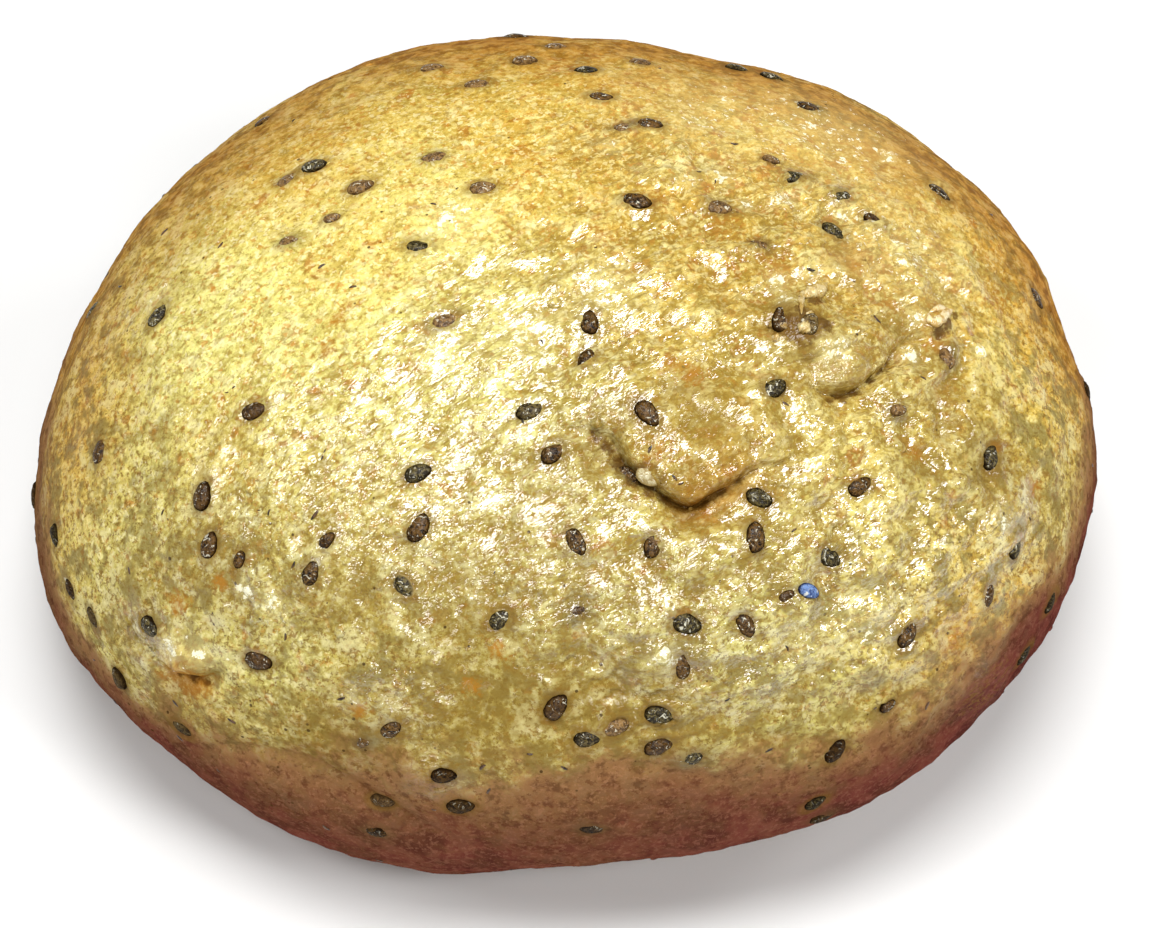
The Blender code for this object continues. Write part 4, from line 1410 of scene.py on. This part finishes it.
    # Painted shade on the low sides, which turn away from the lamps: a brown band, darker and redder lower down
    low = nodes.maths("ADD", nodes.value("height"), nodes.span(patchy, 0.3, 0.7, -1.5, 1.5))
    low = nodes.maths("ADD", low, nodes.maths("MULTIPLY", nodes.value("low_yellow"), 6.0))
    low = nodes.maths("SUBTRACT", low, nodes.maths("MULTIPLY", nodes.value("high_brown"), 7.0))
    band_shade = nodes.mix(nodes.span(low, 22.0, 12.0), rgb(148, 106, 68), rgb(106, 62, 43))
    band_shade = nodes.mix(nodes.span(patchy, 0.42, 0.66, 0.0, 0.5), band_shade, rgb(98, 58, 38))
    band_shade = nodes.mix(nodes.span(mottled, 0.5, 0.64, 0.0, 0.65), band_shade, rgb(80, 44, 28))
    band_shade = nodes.mix(nodes.span(fine, 0.5, 0.64, 0.0, 0.45), band_shade, rgb(172, 128, 90))
    band_shade = nodes.mix(nodes.span(crumbly, 0.44, 0.36, 0.0, 0.6), band_shade, rgb(92, 54, 32))
    colour = nodes.mix(nodes.span(low, 24.0, 19.0, 0.0, 0.92), colour, band_shade)
    # Painted red bounce light on the lowest parts, burgundy, where the patches say
    red_bounce = nodes.maths("MULTIPLY", nodes.span(low, 20.5, 15.5, 0.0, 0.85), nodes.value("red_bounce"))
    red_bounce_colour = nodes.mix(nodes.span(patchy, 0.38, 0.6), rgb(112, 50, 48), rgb(74, 22, 28))
    red_bounce_colour = nodes.mix(nodes.span(fine, 0.48, 0.64, 0.0, 0.4), red_bounce_colour, rgb(142, 84, 76))
    colour = nodes.mix(red_bounce, colour, red_bounce_colour)
    # Painted shade in the creases and dips, where the crust lies deepest
    colour = nodes.mix(nodes.span(nodes.value("hollow"), 0.0, 1.4, 0.0, 0.85), colour, rgb(110, 74, 22))
    # Painted contact shade round the open seeds
    colour = nodes.mix(nodes.maths("MULTIPLY", nodes.value("contact_shade"), 0.65), colour, rgb(116, 86, 38))
    colour = nodes.mix(nodes.maths("MULTIPLY", nodes.value("veil"), 0.8), colour, rgb(88, 72, 42))
    curled = nodes.mix(nodes.span(crumbly, 0.44, 0.56), rgb(206, 168, 96), rgb(246, 228, 178))
    colour = nodes.mix(nodes.value("curl"), colour, curled)
    ridge = nodes.maths("ABSOLUTE", nodes.maths("SUBTRACT", skin, 0.5))
    line = nodes.maths("MULTIPLY", nodes.span(ridge, 0.028, 0.01), nodes.span(greasy, 0.05, 0.5))
    near, pick = nodes.cells(0.8)
    speck = nodes.span(nodes.maths("SUBTRACT", near, nodes.span(pick, 0.6, 1.0, -0.1, 0.17)), -0.03, 0.03, 1.0, 0.0)
    speckled = nodes.maths("ADD", nodes.value("olive"), nodes.span(broad, 0.45, 0.65))
    speck = nodes.maths("MULTIPLY", speck, nodes.maths("MINIMUM", speckled, 0.9))
    colour = nodes.mix(speck, colour, rgb(70, 50, 24))
    nodes.put("Base Color", nodes.mix(nodes.maths("MULTIPLY", line, 0.35), colour, rgb(140, 112, 50)))
    nodes.put("Roughness", 0.5)
    nodes.put("Specular IOR Level", 0.0)
    oily = nodes.maths("ADD", greasy, nodes.maths("MULTIPLY", nodes.value("lumpy"), 0.3))
    oily = nodes.span(nodes.maths("ADD", oily, patchy), 0.55, 1.15, 0.1, 1.0)
    oily = nodes.maths("MULTIPLY", oily, nodes.span(nodes.value("browned_and_shade"), 0.1, 0.8, 1.0, 0.25))
    oily = nodes.maths("MULTIPLY", oily, nodes.span(line, 0.0, 1.0, 1.0, 0.2))
    oily = nodes.maths("MULTIPLY", oily, nodes.span(nodes.value("grainy"), 0.3, 1.0, 1.0, 0.5))
    oily = nodes.maths("MULTIPLY", oily, nodes.span(nodes.maths("ADD", dim, shade), 0.1, 0.8, 1.0, 0.2))
    nodes.put("Coat Weight", nodes.maths("MULTIPLY", oily, nodes.span(low, 16.0, 28.0, 0.05, 1.0)))
    nodes.put("Coat Roughness", 0.09)
    nodes.put("Coat IOR", 2.1)
    wetness = nodes.maths("ADD", nodes.maths("MULTIPLY", greasy, 0.85), 0.25)
    normal = nodes.bump(nodes.maths("MULTIPLY", crumple, wetness), 0.28 * MM)
    normal = nodes.bump(nodes.maths("MULTIPLY", skin, wetness), 0.08 * MM, normal=normal)
    fibres = nodes.maths("MULTIPLY", nodes.noise(0.22, 1.0, 0.6, where=wrinkled), wetness)
    normal = nodes.bump(fibres, 0.06 * MM, normal=normal)
    nodes.put("Coat Normal", normal)
    nodes.put("Normal", normal)
    return nodes.material


def chia_material(name, light, dark):
    """Mottled seed coat, with painted shade low down and on steep walls, painted glints on top, and a greasy shine."""
    nodes = Nodes(name)
    veins = nodes.noise(0.4, 4.0, 0.7, twist=1.5)
    colour = nodes.mix(nodes.span(veins, 0.38, 0.62), dark, light)
    tone = nodes.value("tone")
    greenish = nodes.mix(nodes.span(veins, 0.46, 0.6), rgb(34, 27, 12), rgb(102, 90, 52))
    colour = nodes.mix(nodes.span(tone, 0.4, 0.3), colour, greenish)
    colour = nodes.mix(nodes.span(tone, 0.6, 1.0, 0.0, 0.5), colour, rgb(58, 38, 16))
    # Painted blue reflection on the blue seed
    blue = nodes.mix(nodes.span(veins, 0.4, 0.6), rgb(40, 56, 104), rgb(112, 140, 190))
    colour = nodes.mix(nodes.span(tone, 1.4, 1.6), colour, blue)
    skin = nodes.mix(nodes.span(veins, 0.4, 0.6), rgb(66, 50, 26), rgb(124, 102, 58))
    colour = nodes.mix(nodes.span(tone, 2.4, 2.6), colour, skin)
    veiled = nodes.span(tone, 3.4, 3.6)
    film = nodes.mix(nodes.span(veins, 0.4, 0.6), rgb(78, 56, 32), rgb(142, 110, 66))
    colour = nodes.mix(veiled, colour, film)
    # Painted shade on each seed's low side, less under a veil
    rim = nodes.maths("MULTIPLY", nodes.span(nodes.value("top"), 0.36, 0.1, 0.0, 0.85), nodes.span(veiled, 0.0, 1.0, 1.0, 0.35))
    colour = nodes.mix(rim, colour, dark)
    # Painted shade on seeds on steep walls
    colour = nodes.mix(nodes.span(nodes.value("shine"), 1.0, 0.3, 0.0, 0.55), colour, dark)
    glint = nodes.maths("MULTIPLY", nodes.span(nodes.noise(0.45, 3.0, 0.65, twist=1.5), 0.6, 0.65), nodes.value("shine"))
    glint = nodes.maths("MULTIPLY", glint, nodes.span(nodes.value("top"), 0.1, 0.35, 0.0, 0.7))
    colour = nodes.mix(glint, colour, rgb(236, 232, 208))
    nodes.put("Base Color", colour)
    nodes.put("Roughness", 0.45)
    nodes.put("Specular IOR Level", 0.0)
    nodes.put("Coat Weight", nodes.maths("MULTIPLY", nodes.span(nodes.value("top"), 0.15, 0.4, 0.0, 0.5), nodes.value("shine")))
    nodes.put("Coat Roughness", 0.08)
    nodes.put("Coat IOR", 1.5)
    normal = nodes.bump(nodes.noise(0.35, 3.0, 0.6, twist=1.5), 0.1 * MM)
    nodes.put("Normal", normal)
    nodes.put("Coat Normal", normal)
    return nodes.material


def husk_material():
    nodes = Nodes("husks")
    colour = nodes.mix(nodes.span(nodes.noise(0.3, 2.0), 0.4, 0.6), rgb(34, 24, 14), rgb(84, 54, 26))
    nodes.put("Base Color", colour)
    nodes.put("Roughness", 0.35)
    nodes.put("Normal", nodes.bump(nodes.noise(0.15, 2.0), 0.04 * MM))
    return nodes.material


def make_floor():
    body = bmesh.new()
    bmesh.ops.create_circle(body, cap_ends=True, segments=96, radius=1.5)
    nodes = Nodes("studio floor")
    nodes.put("Base Color", nodes.mix(nodes.noise(60.0), (0.80, 0.80, 0.79, 1), (0.83, 0.83, 0.82, 1)))
    nodes.put("Roughness", 0.7)
    floor = finish_mesh("studio_floor", body, nodes.material)


def aim(made, place, target):
    made.location = place
    made.rotation_euler = (Vector(target) - Vector(place)).to_track_quat("-Z", "Y").to_euler()


def make_light(name, place, size, power, colour=(1, 1, 1)):
    light = bpy.data.lights.new(name, "AREA")
    light.shape = "DISK"
    light.size = size
    light.energy = power
    light.color = colour
    made = bpy.data.objects.new(name, light)
    bpy.context.scene.collection.objects.link(made)
    aim(made, place, MIDDLE)


# Lamps: place in metres, diameter and power
LAMPS = (
    ((0.0, -0.01, 0.62), 0.3, 3.0),
    ((0.44, 0.06, 0.42), 0.13, 0.5),
    ((0.34, -0.26, 0.45), 0.14, 0.9),
    ((0.05, -0.36, 0.55), 0.14, 0.6),
    ((-0.08, -0.50, 0.28), 0.12, 0.45),
    ((-0.33, -0.09, 0.49), 0.18, 0.75),
)
WORLD_STRENGTH = 0.1


def make_studio():
    for number, (place, size, power) in enumerate(LAMPS):
        make_light(f"lamp_{number}", place, size, power)
    world = bpy.data.worlds.new("studio")
    world.use_nodes = True
    world.node_tree.nodes["Background"].inputs["Color"].default_value = (1, 1, 1, 1)
    world.node_tree.nodes["Background"].inputs["Strength"].default_value = WORLD_STRENGTH
    bpy.context.scene.world = world
    bpy.context.scene.view_settings.view_transform = "Standard"


def make_camera():
    lens = bpy.data.cameras.new("camera")
    lens.lens = LENS / MM
    lens.sensor_width = SENSOR_WIDTH / MM
    lens.clip_start = 0.01
    camera = bpy.data.objects.new("camera", lens)
    bpy.context.scene.collection.objects.link(camera)
    aim(camera, EYE, VIEW_TARGET)
    bpy.context.scene.camera = camera


def keep(piece):
    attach(piece, "root")
    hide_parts("roll")


make_camera()
make_studio()
make_floor()
planned = plan_seeds()
pale = [seed for seed in planned if seed.pixel in PALE_SEEDS]
dark = [seed for seed in planned if seed.pixel not in PALE_SEEDS]
baked = crust_material()
keep(make_crust(planned, baked))
keep(make_seeds("chia_seeds", dark, chia_material("chia", rgb(106, 76, 34), rgb(26, 15, 6))))
keep(make_seeds("pale_seeds", pale, chia_material("pale chia", rgb(232, 222, 176), rgb(176, 152, 96))))
keep(make_husks(husk_material()))
keep(make_blisters(baked))
keep(make_curls(baked))
